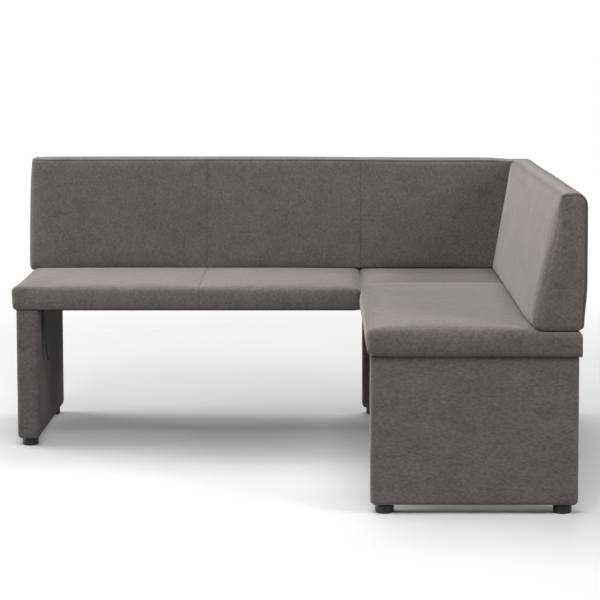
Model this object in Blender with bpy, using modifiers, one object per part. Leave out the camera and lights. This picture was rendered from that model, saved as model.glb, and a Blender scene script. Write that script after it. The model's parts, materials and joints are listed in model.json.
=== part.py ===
"""Upholstered corner kitchen bench.

A long seat hangs on a short full-depth seat that runs towards the viewer. Three padded panel
legs carry them on round glides, and two wedge-shaped backrests stand on the seats.
X runs to the right, Y to the back and Z up. The origin is on the floor under the centre.
"""
import math

import bmesh
import bpy
from mathutils import Matrix, Vector

# Overall size
OVERALL_WIDTH = 1.680
OVERALL_DEPTH = 1.420
TOTAL_HEIGHT = 0.860
RIGHT = OVERALL_WIDTH / 2
BACK = OVERALL_DEPTH / 2

# Clearances
FIT = 0.0003
SOFT_FIT = 0.0005

# Seats
SEAT_UNDERSIDE = 0.4250
SEAT_TOP = 0.5000
SEAT_PRESSED = 0.4925
SEAT_CROWN = 0.006
SEAT_BULGE = 0.005
SEAT_DRAW_IN = 0.006
SEAT_BACK_EDGE = 0.702
LONG_SEAT_LEFT = -0.818
LONG_SEAT_FRONT = 0.124
SHORT_SEAT_LEFT = 0.2565
SHORT_SEAT_RIGHT = 0.828
SHORT_SEAT_FRONT = -0.7063
LONG_SEAT_SEAM = -0.240
SHORT_SEAT_SEAM = 0.205
SEAM_HALF_WIDTH = 0.012
SEAM_DEPTH = 0.005
SEAT_WALL = 0.020
SEAT_EDGE_ROLL = 0.028
SEAT_REAR_ROLL = 0.020
SEAT_FULLNESS_REACH = 0.100
PRESSED_START = 0.006
PRESSED_DEPTH = 0.010
PRESSED_FLAT = 0.022
BUTTED_MARGIN = 0.100
BUTTED_EASE = 0.014
LONG_SEAT_MIDDLES = (-0.450, -0.030)
LONG_SEAT_MIDDLE_Y = 0.360
SHORT_SEAT_MIDDLE_X = 0.490
SHORT_SEAT_MIDDLES_Y = (-0.360, -0.100, 0.400)

# Seat frames and springs
RAIL_WIDTH = 0.040
END_BOARD_WIDTH = 0.120
RAIL_HEIGHT = 0.026
DUST_CLOTH = 0.0010
CLOTH_INSET = 0.014
RAIL_EDGE = 0.0015
CUT_MARGIN = 0.020
STRIP_WIDTH = 0.016
STRIP_HEIGHT = 0.0066
STRIP_WALL = 0.0012
STRIP_LIP = 0.009
STRIP_SETBACK = 0.0023
STRIP_MARGIN = 0.008
WIRE_FROM_WALL = 0.004
SPRING_WIRE = 0.0018
SPRING_WIDTH = 0.075
SPRING_BARS = 10
TIE_WIRE = 0.0012
TIE_OVERHANG = 0.012
TIED_BARS = (2, SPRING_BARS - 4)
LONG_SEAT_SPRINGS = 5
SHORT_SEAT_SPRINGS = 6

# Backrests
BACK_FOOT = 0.4930
BACK_BOTTOM_THICKNESS = 0.130
BACK_TOP_THICKNESS = 0.069
BACK_CROWN = 0.007
BACK_EDGE_ROLL = 0.016
BACK_FOOT_ROLL = 0.030
BACK_MIDDLE_Z = 0.660
BACK_FULLNESS_REACH = 0.080
BACK_FOAM = 0.030
BACK_BOARD = 0.005
BACK_WALL = 0.020
BACK_FOOT_WALL = 0.012
BACK_TOP_WALL = 0.022
BACK_RAIL = 0.026
POST_WIDTH = 0.022
BACK_CLOTH = 0.0010
RIGHT_BACK_FRONT = -0.699
RIGHT_BACK_EDGE_ROLL = 0.028
RIGHT_BACK_LEAN_REACH = 0.100
LONG_BACK_SEAMS = (-0.245, 0.262)
LONG_BACK_CROWN_MARGIN = 0.030
TOP_SEAM_DROP = 0.0103
TOP_SEAM_ROLL = 0.016
RIGHT_BACK_TOP_ROLL = 0.036
BOLT_RADIUS = 0.004
BOLT_HEAD_RADIUS = 0.008
BOLT_HEAD_HEIGHT = 0.004
BOLT_TOP_CLEARANCE = 0.006
LONG_BACK_BOLT_Y = 0.668
RIGHT_BACK_BOLT_X = 0.794

# Panel legs
LEG_WIDTH = 0.553
LEG_THICKNESS = 0.069
LEG_BOTTOM = 0.0245
LEG_TOP = 0.4247
LEG_PADDING = 0.008
LEG_SWELL = 0.002
LEG_EDGE_ROLL = 0.012
LEG_TOP_ROLL = 0.006
LEG_FOOT_ROLL = 0.018
LEFT_LEG_X = -0.805
LEFT_LEG_Y = 0.136
SHORT_LEG_X = 0.268
FRONT_LEG_Y = -0.687
REAR_LEG_Y = 0.619

# Feet and hardware
FOOT_RADIUS = 0.025
FOOT_TOP = 0.0242
FOOT_INSET = 0.039
STEM_RADIUS = 0.004
STEM_TOP = 0.058
GLIDE_STEPS = 18
BRACKET_LEG = 0.045
BRACKET_WIDTH = 0.034
BRACKET_HOLE_SHARE = 0.62
BRACKET_SETBACK = 0.110
LEFT_BRACKET_SETBACK = 0.300
STEEL = 0.003
SCREW_HOLE = 0.0025
CONNECTOR_LENGTH = 0.130
CONNECTOR_WIDTH = 0.050
CONNECTOR_CENTRES = (0.250, 0.540)
CONNECTOR_CORNER = 0.008
CONNECTOR_HOLE_X = 0.048
CONNECTOR_HOLE_Y = 0.014
STRAP_WIDTH = 0.025
STRAP_THICKNESS = 0.002
STRAP_Y = 0.216
STRAP_LENGTH = 0.160
STRAP_LEAN = 0.010
STRAP_STEPS = 8
STRAP_HOOK = 0.004

# Heights inside the seats
SEAT_HEIGHT_STATIONS = (SEAT_UNDERSIDE + 0.008, SEAT_UNDERSIDE + 0.026,
                        SEAT_TOP - SEAT_EDGE_ROLL)
RAIL_BOTTOM = SEAT_UNDERSIDE + DUST_CLOTH + FIT
RAIL_TOP = RAIL_BOTTOM + RAIL_HEIGHT
STRIP_BOTTOM = RAIL_TOP + FIT
STRIP_TOP = STRIP_BOTTOM + STRIP_HEIGHT
WIRE_HEIGHT = STRIP_BOTTOM + STRIP_HEIGHT / 2
SEAT_HOLLOW_TOP = STRIP_TOP + FIT

parts = None
cutters = None


def linear(hex_colour):
    """Turn an sRGB hex colour into linear RGBA."""
    channels = [int(hex_colour[i:i + 2], 16) / 255 for i in (1, 3, 5)]
    curve = [c / 12.92 if c <= 0.04045 else ((c + 0.055) / 1.055) ** 2.4 for c in channels]
    return (*curve, 1.0)


MATERIALS = {
    "cover fabric": ("#7B756F", 0.9, 0.0),
    "pine rail": ("#C9A878", 0.6, 0.0),
    "chipboard": ("#B0946A", 0.8, 0.0),
    "hardboard": ("#6E4F34", 0.7, 0.0),
    "dust cloth": ("#26262A", 0.95, 0.0),
    "rear lining": ("#656059", 0.95, 0.0),
    "spring steel": ("#6D6F73", 0.35, 1.0),
    "zinc steel": ("#B9BCC0", 0.4, 1.0),
    "black steel": ("#1C1D1F", 0.5, 0.0),
    "black plastic": ("#1B1B1D", 0.45, 0.0),
    "clip plastic": ("#D8D6CF", 0.5, 0.0),
    "webbing": ("#1E1E20", 0.9, 0.0),
}


def make_material(name):
    """Each sub-part gets its own material from the table above."""
    hex_colour, roughness, metallic = MATERIALS[name]
    material = bpy.data.materials.new(name)
    material.use_nodes = True
    shader = material.node_tree.nodes["Principled BSDF"]
    shader.inputs["Base Color"].default_value = linear(hex_colour)
    shader.inputs["Roughness"].default_value = roughness
    shader.inputs["Metallic"].default_value = metallic
    return material


def clear_scene():
    """Remove what is in the scene and make the two collections."""
    global parts, cutters
    for obj in list(bpy.data.objects):
        bpy.data.objects.remove(obj, do_unlink=True)
    parts = bpy.data.collections.new("corner_kitchen_bench")
    cutters = bpy.data.collections.new("cutters")
    bpy.context.scene.collection.children.link(parts)
    bpy.context.scene.collection.children.link(cutters)


def add_part(name, mesh, material):
    """Put a mesh in the bench under its own name and material."""
    obj = bpy.data.objects.new(name, mesh)
    mesh.materials.clear()
    mesh.materials.append(make_material(material))
    parts.objects.link(obj)
    return obj


def add_cutter(name, mesh):
    """Put a mesh among the cutters, out of the build."""
    obj = bpy.data.objects.new(name, mesh)
    obj.hide_render = True
    obj.display_type = "WIRE"
    cutters.objects.link(obj)
    return obj


def bevel(obj, width, segments=1):
    """Round the edges of a plain solid."""
    modifier = obj.modifiers.new("edges", "BEVEL")
    modifier.width = width
    modifier.segments = segments
    modifier.limit_method = "ANGLE"


def combine(obj, other, operation):
    """Cut from, or join to, an object with the exact solver."""
    modifier = obj.modifiers.new(operation.lower(), "BOOLEAN")
    modifier.operation = operation
    modifier.solver = "EXACT"
    modifier.object = other


def box_mesh(name, low, high):
    """A box between two corners."""
    low, high = Vector(low), Vector(high)
    shape = bmesh.new()
    bmesh.ops.create_cube(shape, size=1.0)
    bmesh.ops.scale(shape, vec=high - low, verts=shape.verts)
    bmesh.ops.translate(shape, vec=(low + high) / 2, verts=shape.verts)
    mesh = bpy.data.meshes.new(name)
    shape.to_mesh(mesh)
    shape.free()
    return mesh


def box(name, low, high, material, edge=0.0):
    """A board, rail or sheet, with slightly eased edges where edge is given."""
    obj = add_part(name, box_mesh(name, low, high), material)
    if edge:
        bevel(obj, edge)
    return obj


def box_cutter(name, low, high):
    return add_cutter(name, box_mesh(name, low, high))


def rod_cutter(name, centre, axis, radius, length, sides=12):
    """A round cutter whose middle is at centre, along X, Y or Z."""
    return add_cutter(name, rods_mesh(name, [centre], axis, radius, length, sides))


def rods_mesh(name, centres, axis, radius, length, sides=12):
    """Several round bars of one size, side by side."""
    turn = {
        "X": Matrix.Rotation(math.pi / 2, 3, "Y"),
        "Y": Matrix.Rotation(math.pi / 2, 3, "X"),
        "Z": Matrix.Identity(3),
    }[axis]
    shape = bmesh.new()
    for centre in centres:
        made = bmesh.ops.create_cone(shape, cap_ends=True, segments=sides, radius1=radius,
                                     radius2=radius, depth=length)
        bmesh.ops.rotate(shape, cent=(0, 0, 0), matrix=turn, verts=made["verts"])
        bmesh.ops.translate(shape, vec=centre, verts=made["verts"])
    mesh = bpy.data.meshes.new(name)
    shape.to_mesh(mesh)
    shape.free()
    return mesh


def solid_from_curve(curve_obj):
    """The closed mesh of a curve object, in world space. The curve is removed."""
    depsgraph = bpy.context.evaluated_depsgraph_get()
    mesh = bpy.data.meshes.new_from_object(curve_obj.evaluated_get(depsgraph))
    mesh.transform(curve_obj.matrix_world)
    shape = bmesh.new()
    shape.from_mesh(mesh)
    bmesh.ops.remove_doubles(shape, verts=shape.verts, dist=0.00001)
    bmesh.ops.recalc_face_normals(shape, faces=shape.faces)
    shape.to_mesh(mesh)
    shape.free()
    bpy.data.objects.remove(curve_obj, do_unlink=True)
    return mesh


def extrusion_mesh(name, outline, axis, start, end):
    """Extrude a flat outline along an axis.

    Along X the outline's points are (y, z), along Y they are (x, z), along Z they are (x, y).
    """
    columns = {
        "X": ((0, 1, 0), (0, 0, 1), (1, 0, 0)),
        "Y": ((1, 0, 0), (0, 0, 1), (0, -1, 0)),
        "Z": ((1, 0, 0), (0, 1, 0), (0, 0, 1)),
    }[axis]
    curve = bpy.data.curves.new(name, "CURVE")
    curve.dimensions = "2D"
    curve.fill_mode = "BOTH"
    curve.extrude = (end - start) / 2
    spline = curve.splines.new("POLY")
    spline.points.add(len(outline) - 1)
    for point, (across, up) in zip(spline.points, outline):
        point.co = (across, up, 0, 1)
    spline.use_cyclic_u = True
    obj = bpy.data.objects.new(name, curve)
    obj.matrix_world = Matrix(columns).transposed().to_4x4()
    centre = (start + end) / 2
    obj.matrix_world.translation = Vector(columns[2]) * (-centre if axis == "Y" else centre)
    bpy.context.scene.collection.objects.link(obj)
    bpy.context.view_layer.update()
    return solid_from_curve(obj)


def extrusion(name, outline, axis, start, end, material):
    return add_part(name, extrusion_mesh(name, outline, axis, start, end), material)


def wire_mesh(name, points, radius):
    """A round wire through the given points."""
    curve = bpy.data.curves.new(name, "CURVE")
    curve.dimensions = "3D"
    curve.bevel_depth = radius
    curve.bevel_resolution = 1
    curve.use_fill_caps = True
    spline = curve.splines.new("POLY")
    spline.points.add(len(points) - 1)
    for point, place in zip(spline.points, points):
        point.co = (*place, 1)
    obj = bpy.data.objects.new(name, curve)
    bpy.context.scene.collection.objects.link(obj)
    bpy.context.view_layer.update()
    return solid_from_curve(obj)


def soft_block(name, low, high, stations, form):
    """A cushion: a cage cut at the stations, moved by a form function and then smoothed."""
    cage = bmesh.new()
    cage.from_mesh(box_mesh(name, low, high))
    for axis, places in enumerate(stations):
        normal = Vector((0, 0, 0))
        normal[axis] = 1
        for place in places:
            geometry = cage.verts[:] + cage.edges[:] + cage.faces[:]
            bmesh.ops.bisect_plane(cage, geom=geometry, dist=0.00001, plane_no=normal,
                                   plane_co=normal * place)
    for vertex in cage.verts:
        vertex.co = form(vertex.co.copy())
    mesh = bpy.data.meshes.new(name)
    cage.to_mesh(mesh)
    cage.free()
    mesh.shade_smooth()
    obj = add_part(name, mesh, "cover fabric")
    modifier = obj.modifiers.new("soft", "SUBSURF")
    modifier.levels = 1
    modifier.render_levels = 1
    return obj


def swell(place, low, high):
    """1 in the middle of a span and 0 at its ends, with a flat top."""
    t = 2 * (place - low) / (high - low) - 1
    return max(0.0, 1 - t ** 4)


def near(a, b):
    return abs(a - b) < 0.0001


def side_offset(z):
    """How far a seat's side stands out at a height: bulged halfway, drawn in below."""
    rise = (z - SEAT_UNDERSIDE) / (SEAT_TOP - SEAT_UNDERSIDE)
    return SEAT_BULGE * math.sin(math.pi * rise) - SEAT_DRAW_IN * (1 - rise) ** 4


def seat_pad(name, low, high, stations, seam_axis, seam, crown_low, crown_high, free, pressed,
             butted):
    """One seat pad, hollow below for its frame.

    free names the sides that bulge, pressed tells where a backrest stands on the top and
    butted where the other seat meets the left side.
    """
    def form(p):
        x, y, z = p
        on_top = near(z, high[2])
        if near(x, low[0]) and "left" in free and not butted(y):
            p.x -= side_offset(z)
        if near(x, high[0]) and "right" in free:
            p.x += side_offset(z)
        if near(y, low[1]) and "front" in free:
            p.y -= side_offset(z)
        if on_top:
            crown = swell(x, crown_low[0], crown_high[0]) * swell(y, crown_low[1], crown_high[1])
            p.z += SEAT_CROWN * crown
            if pressed(x, y):
                p.z = SEAT_PRESSED
        if near(p[seam_axis], seam):
            if on_top and not pressed(x, y):
                p.z -= SEAM_DEPTH
            elif near(y, low[1]):
                p.y += SEAM_DEPTH
            elif near(x, low[0]) and "left" in free and z > SEAT_HEIGHT_STATIONS[0]:
                p.x += SEAM_DEPTH / 2
        return p

    pad = soft_block(name, low, high, stations, form)
    hollow_low = (low[0] + SEAT_WALL, low[1] + SEAT_WALL, SEAT_UNDERSIDE - CUT_MARGIN)
    hollow_high = (high[0] - SEAT_WALL, high[1] - SEAT_WALL, SEAT_HOLLOW_TOP)
    combine(pad, box_cutter(name + "_hollow", hollow_low, hollow_high), "DIFFERENCE")


def long_seat():
    """The long seat: pad, rails, springs and dust cloth."""
    low = (LONG_SEAT_LEFT, LONG_SEAT_FRONT, SEAT_UNDERSIDE)
    high = (SHORT_SEAT_LEFT - SOFT_FIT, SEAT_BACK_EDGE, SEAT_TOP)
    foot_line = BACK - BACK_BOTTOM_THICKNESS
    press_line = foot_line + PRESSED_DEPTH
    stations = (
        (low[0] + SEAT_EDGE_ROLL, low[0] + SEAT_FULLNESS_REACH, *LONG_SEAT_MIDDLES,
         LONG_SEAT_SEAM - SEAM_HALF_WIDTH, LONG_SEAT_SEAM, LONG_SEAT_SEAM + SEAM_HALF_WIDTH,
         high[0] - SEAT_FULLNESS_REACH, high[0] - SEAT_EDGE_ROLL),
        (low[1] + SEAT_EDGE_ROLL, low[1] + SEAT_FULLNESS_REACH, LONG_SEAT_MIDDLE_Y,
         foot_line - PRESSED_START, press_line, foot_line + PRESSED_FLAT,
         high[1] - SEAT_REAR_ROLL),
        SEAT_HEIGHT_STATIONS,
    )
    seat_pad(
        "long_seat_pad", low, high, stations, 0, LONG_SEAT_SEAM,
        low, (high[0], foot_line), ("left", "front"), lambda x, y: y > press_line - FIT,
        lambda y: False)
    seat_frame("long_seat", low, high, 1, LONG_SEAT_SPRINGS)


def short_seat():
    """The short part's full-depth seat, whose sewn seam marks off the corner."""
    low = (SHORT_SEAT_LEFT, SHORT_SEAT_FRONT, SEAT_UNDERSIDE)
    high = (SHORT_SEAT_RIGHT, SEAT_BACK_EDGE, SEAT_TOP)
    foot_y = BACK - BACK_BOTTOM_THICKNESS
    foot_x = RIGHT - BACK_BOTTOM_THICKNESS
    press_x, press_y = foot_x + PRESSED_DEPTH, foot_y + PRESSED_DEPTH
    butted_line = LONG_SEAT_FRONT - BUTTED_MARGIN
    stations = (
        (low[0] + SEAT_EDGE_ROLL, low[0] + SEAT_FULLNESS_REACH, SHORT_SEAT_MIDDLE_X,
         foot_x - PRESSED_START, press_x, foot_x + PRESSED_FLAT, high[0] - SEAT_REAR_ROLL),
        (low[1] + SEAT_EDGE_ROLL, low[1] + SEAT_FULLNESS_REACH, *SHORT_SEAT_MIDDLES_Y,
         butted_line + BUTTED_EASE, LONG_SEAT_FRONT - BUTTED_EASE,
         SHORT_SEAT_SEAM - SEAM_HALF_WIDTH, SHORT_SEAT_SEAM, SHORT_SEAT_SEAM + SEAM_HALF_WIDTH,
         foot_y - PRESSED_START, press_y, foot_y + PRESSED_FLAT, high[1] - SEAT_REAR_ROLL),
        SEAT_HEIGHT_STATIONS,
    )
    seat_pad(
        "short_seat_pad", low, high, stations, 1, SHORT_SEAT_SEAM, low, (foot_x, foot_y),
        ("left", "right", "front"), lambda x, y: x > press_x - FIT or y > press_y - FIT,
        lambda y: y > butted_line)
    seat_frame("short_seat", low, high, 0, SHORT_SEAT_SPRINGS)


def seat_frame(name, low, high, span_axis, spring_count):
    """Rails, clip strips, spring bed and dust cloth of one seat.

    The springs span along span_axis, between the two long rails.
    """
    inset = SEAT_WALL + FIT
    x0, x1 = low[0] + inset, high[0] - inset
    y0, y1 = low[1] + inset, high[1] - inset
    if span_axis == 1:
        left_in, right_in = x0 + END_BOARD_WIDTH, x1 - RAIL_WIDTH
        front_in, rear_in = y0 + RAIL_WIDTH, y1 - RAIL_WIDTH
        boards = {"front": (x0, y0, x1, front_in), "rear": (x0, rear_in, x1, y1),
                  "left": (x0, front_in + FIT, left_in, rear_in - FIT),
                  "right": (right_in, front_in + FIT, x1, rear_in - FIT)}
        near_wall, far_wall = front_in - STRIP_SETBACK, rear_in + STRIP_SETBACK
        along = (left_in + STRIP_MARGIN, right_in - STRIP_MARGIN)
        ends = ("front", "rear")
    else:
        left_in, right_in = x0 + RAIL_WIDTH, x1 - RAIL_WIDTH
        front_in, rear_in = y0 + END_BOARD_WIDTH, y1 - END_BOARD_WIDTH
        cross = SHORT_SEAT_SEAM - RAIL_WIDTH / 2
        boards = {"left": (x0, y0, left_in, y1), "right": (right_in, y0, x1, y1),
                  "front": (left_in + FIT, y0, right_in - FIT, front_in),
                  "rear": (left_in + FIT, rear_in, right_in - FIT, y1),
                  "cross": (left_in + FIT, cross, right_in - FIT, cross + RAIL_WIDTH)}
        near_wall, far_wall = left_in - STRIP_SETBACK, right_in + STRIP_SETBACK
        along = (front_in + STRIP_MARGIN, rear_in - STRIP_MARGIN)
        ends = ("left", "right")
    for side, (left, front, right, rear) in boards.items():
        box(f"{name}_{side}_rail", (left, front, RAIL_BOTTOM), (right, rear, RAIL_TOP),
            "pine rail", RAIL_EDGE)
    cloth_low = [a + CLOTH_INSET for a in low[:2]]
    cloth_high = [a - CLOTH_INSET for a in high[:2]]
    cloth_top = SEAT_UNDERSIDE + DUST_CLOTH
    box(f"{name}_dust_cloth", (*cloth_low, SEAT_UNDERSIDE), (*cloth_high, cloth_top),
        "dust cloth")
    rebate = box_cutter(f"{name}_cloth_rebate",
                        (*(a - FIT for a in cloth_low), SEAT_UNDERSIDE - CUT_MARGIN),
                        (*(a + FIT for a in cloth_high), cloth_top + FIT))
    combine(parts.objects[f"{name}_pad"], rebate, "DIFFERENCE")
    clip_strip(f"{name}_{ends[0]}_clip_strip", near_wall - STRIP_WIDTH, 1, span_axis, along)
    clip_strip(f"{name}_{ends[1]}_clip_strip", far_wall + STRIP_WIDTH, -1, span_axis, along)
    first_bar = near_wall - STRIP_WIDTH + WIRE_FROM_WALL
    last_bar = far_wall + STRIP_WIDTH - WIRE_FROM_WALL
    spring_bed(f"{name}_spring_bed", first_bar, last_bar, span_axis, along, spring_count)


def clip_strip(name, wall, direction, span_axis, along):
    """A moulded strip whose lip holds the end bars of all the springs."""
    outline = [(0, 0), (STRIP_WIDTH, 0), (STRIP_WIDTH, STRIP_WALL), (STRIP_WALL, STRIP_WALL),
               (STRIP_WALL, STRIP_HEIGHT - STRIP_WALL), (STRIP_LIP, STRIP_HEIGHT - STRIP_WALL),
               (STRIP_LIP, STRIP_HEIGHT), (0, STRIP_HEIGHT)]
    placed = [(wall + direction * across, STRIP_BOTTOM + up) for across, up in outline]
    extrusion(name, placed, "X" if span_axis == 1 else "Y", along[0], along[1], "clip plastic")


def sinuous_path(first_bar, last_bar, centre):
    """Points of one zig-zag spring: straight bars joined by half-round bends."""
    pitch = (last_bar - first_bar) / (SPRING_BARS - 1)
    bend = pitch / 2
    straight = SPRING_WIDTH / 2 - bend
    points = [(first_bar, centre + straight + bend)]
    for bar in range(SPRING_BARS - 1):
        side = -1 if bar % 2 == 0 else 1
        middle = first_bar + (bar + 0.5) * pitch
        for step in range(4):
            angle = math.pi * step / 3
            points.append((middle - bend * math.cos(angle),
                           centre + side * (straight + bend * math.sin(angle))))
    last_side = -1 if SPRING_BARS % 2 == 0 else 1
    points.append((last_bar, centre - last_side * (straight + bend)))
    return points


def spring_bed(name, first_bar, last_bar, span_axis, along, count):
    """Sinuous springs tied together by two straight wires, as one welded bed."""
    def place(span, across):
        if span_axis == 1:
            return (across, span, WIRE_HEIGHT)
        return (span, across, WIRE_HEIGHT)

    pitch = (last_bar - first_bar) / (SPRING_BARS - 1)
    spacing = (along[1] - along[0]) / count
    centres = [along[0] + spacing * (i + 0.5) for i in range(count)]
    reach = SPRING_WIDTH / 2 + TIE_OVERHANG
    wire_ends = (centres[0] - reach, centres[-1] + reach)
    tie_spans = [first_bar + (bar + 0.5) * pitch for bar in TIED_BARS]
    ties = [wire_mesh(f"{name}_tie_{i}", [place(span, end) for end in wire_ends], TIE_WIRE)
            for i, span in enumerate(tie_spans)]
    bed = add_part(name, ties[0], "spring steel")
    for i, centre in enumerate(centres):
        path = [place(span, across) for span, across in sinuous_path(first_bar, last_bar, centre)]
        wire = wire_mesh(f"{name}_spring_{i}", path, SPRING_WIRE)
        combine(bed, add_cutter(f"{name}_spring_{i}", wire), "UNION")
    combine(bed, add_cutter(f"{name}_second_tie", ties[1]), "UNION")


def slope(z, foam=0.0):
    """How far a backrest's front face lies in front of its rear plane at a height."""
    rise = (z - BACK_FOOT) / (TOTAL_HEIGHT - BACK_FOOT)
    return BACK_BOTTOM_THICKNESS + (BACK_TOP_THICKNESS - BACK_BOTTOM_THICKNESS) * rise - foam


def back_pad(name, length_axis, start, end, roll, seams, crown_end):
    """One wedge-shaped backrest pad that runs along X or Y, its thickness to the rear plane.

    The long one has upright seams and a seam along its top edge. The right one has soft
    rolls and a rear end that leans with the face that it butts against.
    """
    thick_axis = 1 - length_axis
    rear = BACK if thick_axis == 1 else RIGHT
    low = [0, 0, BACK_FOOT]
    high = [0, 0, TOTAL_HEIGHT]
    low[length_axis], high[length_axis] = start, end
    low[thick_axis], high[thick_axis] = rear - BACK_BOTTOM_THICKNESS, rear
    leaning = not seams
    length_places = [start + roll, start + BACK_FULLNESS_REACH,
                     min(crown_end, end - BACK_FULLNESS_REACH), end - BACK_EDGE_ROLL]
    for seam in seams:
        length_places += [seam - SEAM_HALF_WIDTH, seam, seam + SEAM_HALF_WIDTH]
    ends = sorted([start, *seams, end])
    for first, second in zip(ends[:-1], ends[1:]):
        length_places.append((first + second) / 2)
    top_seam = TOTAL_HEIGHT - TOP_SEAM_DROP
    heights = (top_seam - TOP_SEAM_ROLL, top_seam)
    if leaning:
        heights = (TOTAL_HEIGHT - RIGHT_BACK_TOP_ROLL,)
    stations = [None, None, (BACK_FOOT + BACK_FOOT_ROLL, BACK_FOOT + BACK_FULLNESS_REACH,
                             BACK_MIDDLE_Z, TOTAL_HEIGHT - BACK_FULLNESS_REACH, *heights)]
    stations[length_axis] = sorted(length_places)
    stations[thick_axis] = (low[thick_axis] + BACK_FOAM, rear - BACK_FOAM)

    def form(p):
        along, across, z = p[length_axis], p[thick_axis], p.z
        share = (rear - across) / BACK_BOTTOM_THICKNESS
        p[thick_axis] = rear - slope(z) * share
        if near(across, low[thick_axis]):
            crown = swell(along, start, crown_end)
            p[thick_axis] -= BACK_CROWN * crown * swell(z, BACK_FOOT, TOTAL_HEIGHT)
            if any(near(along, seam) for seam in seams) or near(z, top_seam):
                p[thick_axis] += SEAM_DEPTH
        if leaning:
            reach = RIGHT_BACK_LEAN_REACH
            share_end = max(0.0, (along - (end - reach)) / reach)
            p[length_axis] += share_end * (BACK_BOTTOM_THICKNESS - slope(z))
        return p

    soft_block(name, low, high, stations, form)


def back_frame(name, length_axis, start, end, post_names):
    """The hollow, board, rails, tapered posts and rear cloth of one backrest."""
    thick_axis = 1 - length_axis
    rear = BACK if thick_axis == 1 else RIGHT
    axis = "X" if length_axis == 0 else "Y"
    bottom = BACK_FOOT + BACK_FOOT_WALL
    top = TOTAL_HEIGHT - BACK_TOP_WALL

    def outline(z_low, z_high, front, back):
        """A wedge slice whose front follows the sloping face."""
        return [(rear - slope(z_low, front), z_low), (back, z_low), (back, z_high),
                (rear - slope(z_high, front), z_high)]

    hollow = extrusion_mesh(name + "_hollow", outline(bottom, top, BACK_FOAM, rear + CUT_MARGIN),
                            axis, start, end)
    combine(parts.objects[f"{name}_pad"], add_cutter(name + "_hollow", hollow), "DIFFERENCE")

    def between(z_low, z_high, front, back, first, last, piece, material):
        return extrusion(f"{name}_{piece}", outline(z_low, z_high, front, back), axis, first, last,
                         material)

    inner_start, inner_end = start + FIT, end - FIT
    board = BACK_FOAM + FIT
    board_low, board_high = bottom + FIT, top - FIT
    board_outline = [(rear - slope(board_low, board), board_low),
                     (rear - slope(board_low, board + BACK_BOARD), board_low),
                     (rear - slope(board_high, board + BACK_BOARD), board_high),
                     (rear - slope(board_high, board), board_high)]
    extrusion(f"{name}_board", board_outline, axis, inner_start, inner_end, "hardboard")
    wood = board + BACK_BOARD + FIT
    wood_back = rear - BACK_CLOTH - FIT
    between(board_low, board_low + BACK_RAIL, wood, wood_back, inner_start, inner_end,
            "bottom_rail", "pine rail")
    between(board_high - BACK_RAIL, board_high, wood, wood_back, inner_start, inner_end,
            "top_rail", "pine rail")
    post_low, post_high = board_low + BACK_RAIL + FIT, board_high - BACK_RAIL - FIT
    gaps = len(post_names) - 1
    for i, post in enumerate(post_names):
        first = inner_start + i * (inner_end - inner_start - POST_WIDTH) / gaps
        between(post_low, post_high, wood, wood_back, first, first + POST_WIDTH,
                f"{post}_post", "pine rail")
    low, high = [0, 0, bottom + FIT], [0, 0, top - FIT]
    low[length_axis], high[length_axis] = inner_start, inner_end
    low[thick_axis], high[thick_axis] = rear - BACK_CLOTH, rear
    box(f"{name}_rear_cloth", low, high, "rear lining")


def long_back():
    """The long backrest runs over the full width, with two upright seams."""
    crown_end = RIGHT - BACK_BOTTOM_THICKNESS - LONG_BACK_CROWN_MARGIN
    back_pad("long_back_pad", 0, -RIGHT, RIGHT, BACK_EDGE_ROLL, LONG_BACK_SEAMS, crown_end)
    back_frame("long_back", 0, -RIGHT + BACK_WALL, RIGHT - BACK_WALL,
               ("left", "middle", "right"))


def right_back():
    """The right backrest butts with a leaning end against the long one's front face."""
    end = BACK - BACK_BOTTOM_THICKNESS - SOFT_FIT
    back_pad("right_back_pad", 1, RIGHT_BACK_FRONT, end, RIGHT_BACK_EDGE_ROLL, (), end)
    back_frame("right_back", 1, RIGHT_BACK_FRONT + BACK_WALL, end - BACK_WALL, ("front", "rear"))


def back_bolt(name, x, y, seat, rail, back):
    """A bolt from the seat's rail up into the backrest's bottom rail, with its bores."""
    head_bottom = RAIL_BOTTOM + FIT
    shank_top = BACK_FOOT + BACK_FOOT_WALL + BACK_RAIL - BOLT_TOP_CLEARANCE
    shank = rods_mesh(name, [(x, y, (head_bottom + shank_top) / 2)], "Z", BOLT_RADIUS,
                      shank_top - head_bottom)
    bolt = add_part(name, shank, "zinc steel")
    head = rods_mesh(name + "_head", [(x, y, head_bottom + BOLT_HEAD_HEIGHT / 2)], "Z",
                     BOLT_HEAD_RADIUS, BOLT_HEAD_HEIGHT, 6)
    combine(bolt, add_cutter(name + "_head", head), "UNION")
    bore = rod_cutter(name + "_bore", (x, y, (SEAT_UNDERSIDE + shank_top + FIT) / 2), "Z",
                      BOLT_RADIUS + 2 * FIT, shank_top + FIT - SEAT_UNDERSIDE)
    for target in (rail, f"{seat}_pad", f"{back}_pad", f"{back}_bottom_rail"):
        combine(parts.objects[target], bore, "DIFFERENCE")
    recess_top = head_bottom + BOLT_HEAD_HEIGHT + FIT
    recess = rod_cutter(name + "_recess", (x, y, (SEAT_UNDERSIDE + recess_top) / 2), "Z",
                        BOLT_HEAD_RADIUS + 3 * FIT, recess_top - SEAT_UNDERSIDE)
    combine(parts.objects[rail], recess, "DIFFERENCE")


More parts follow.
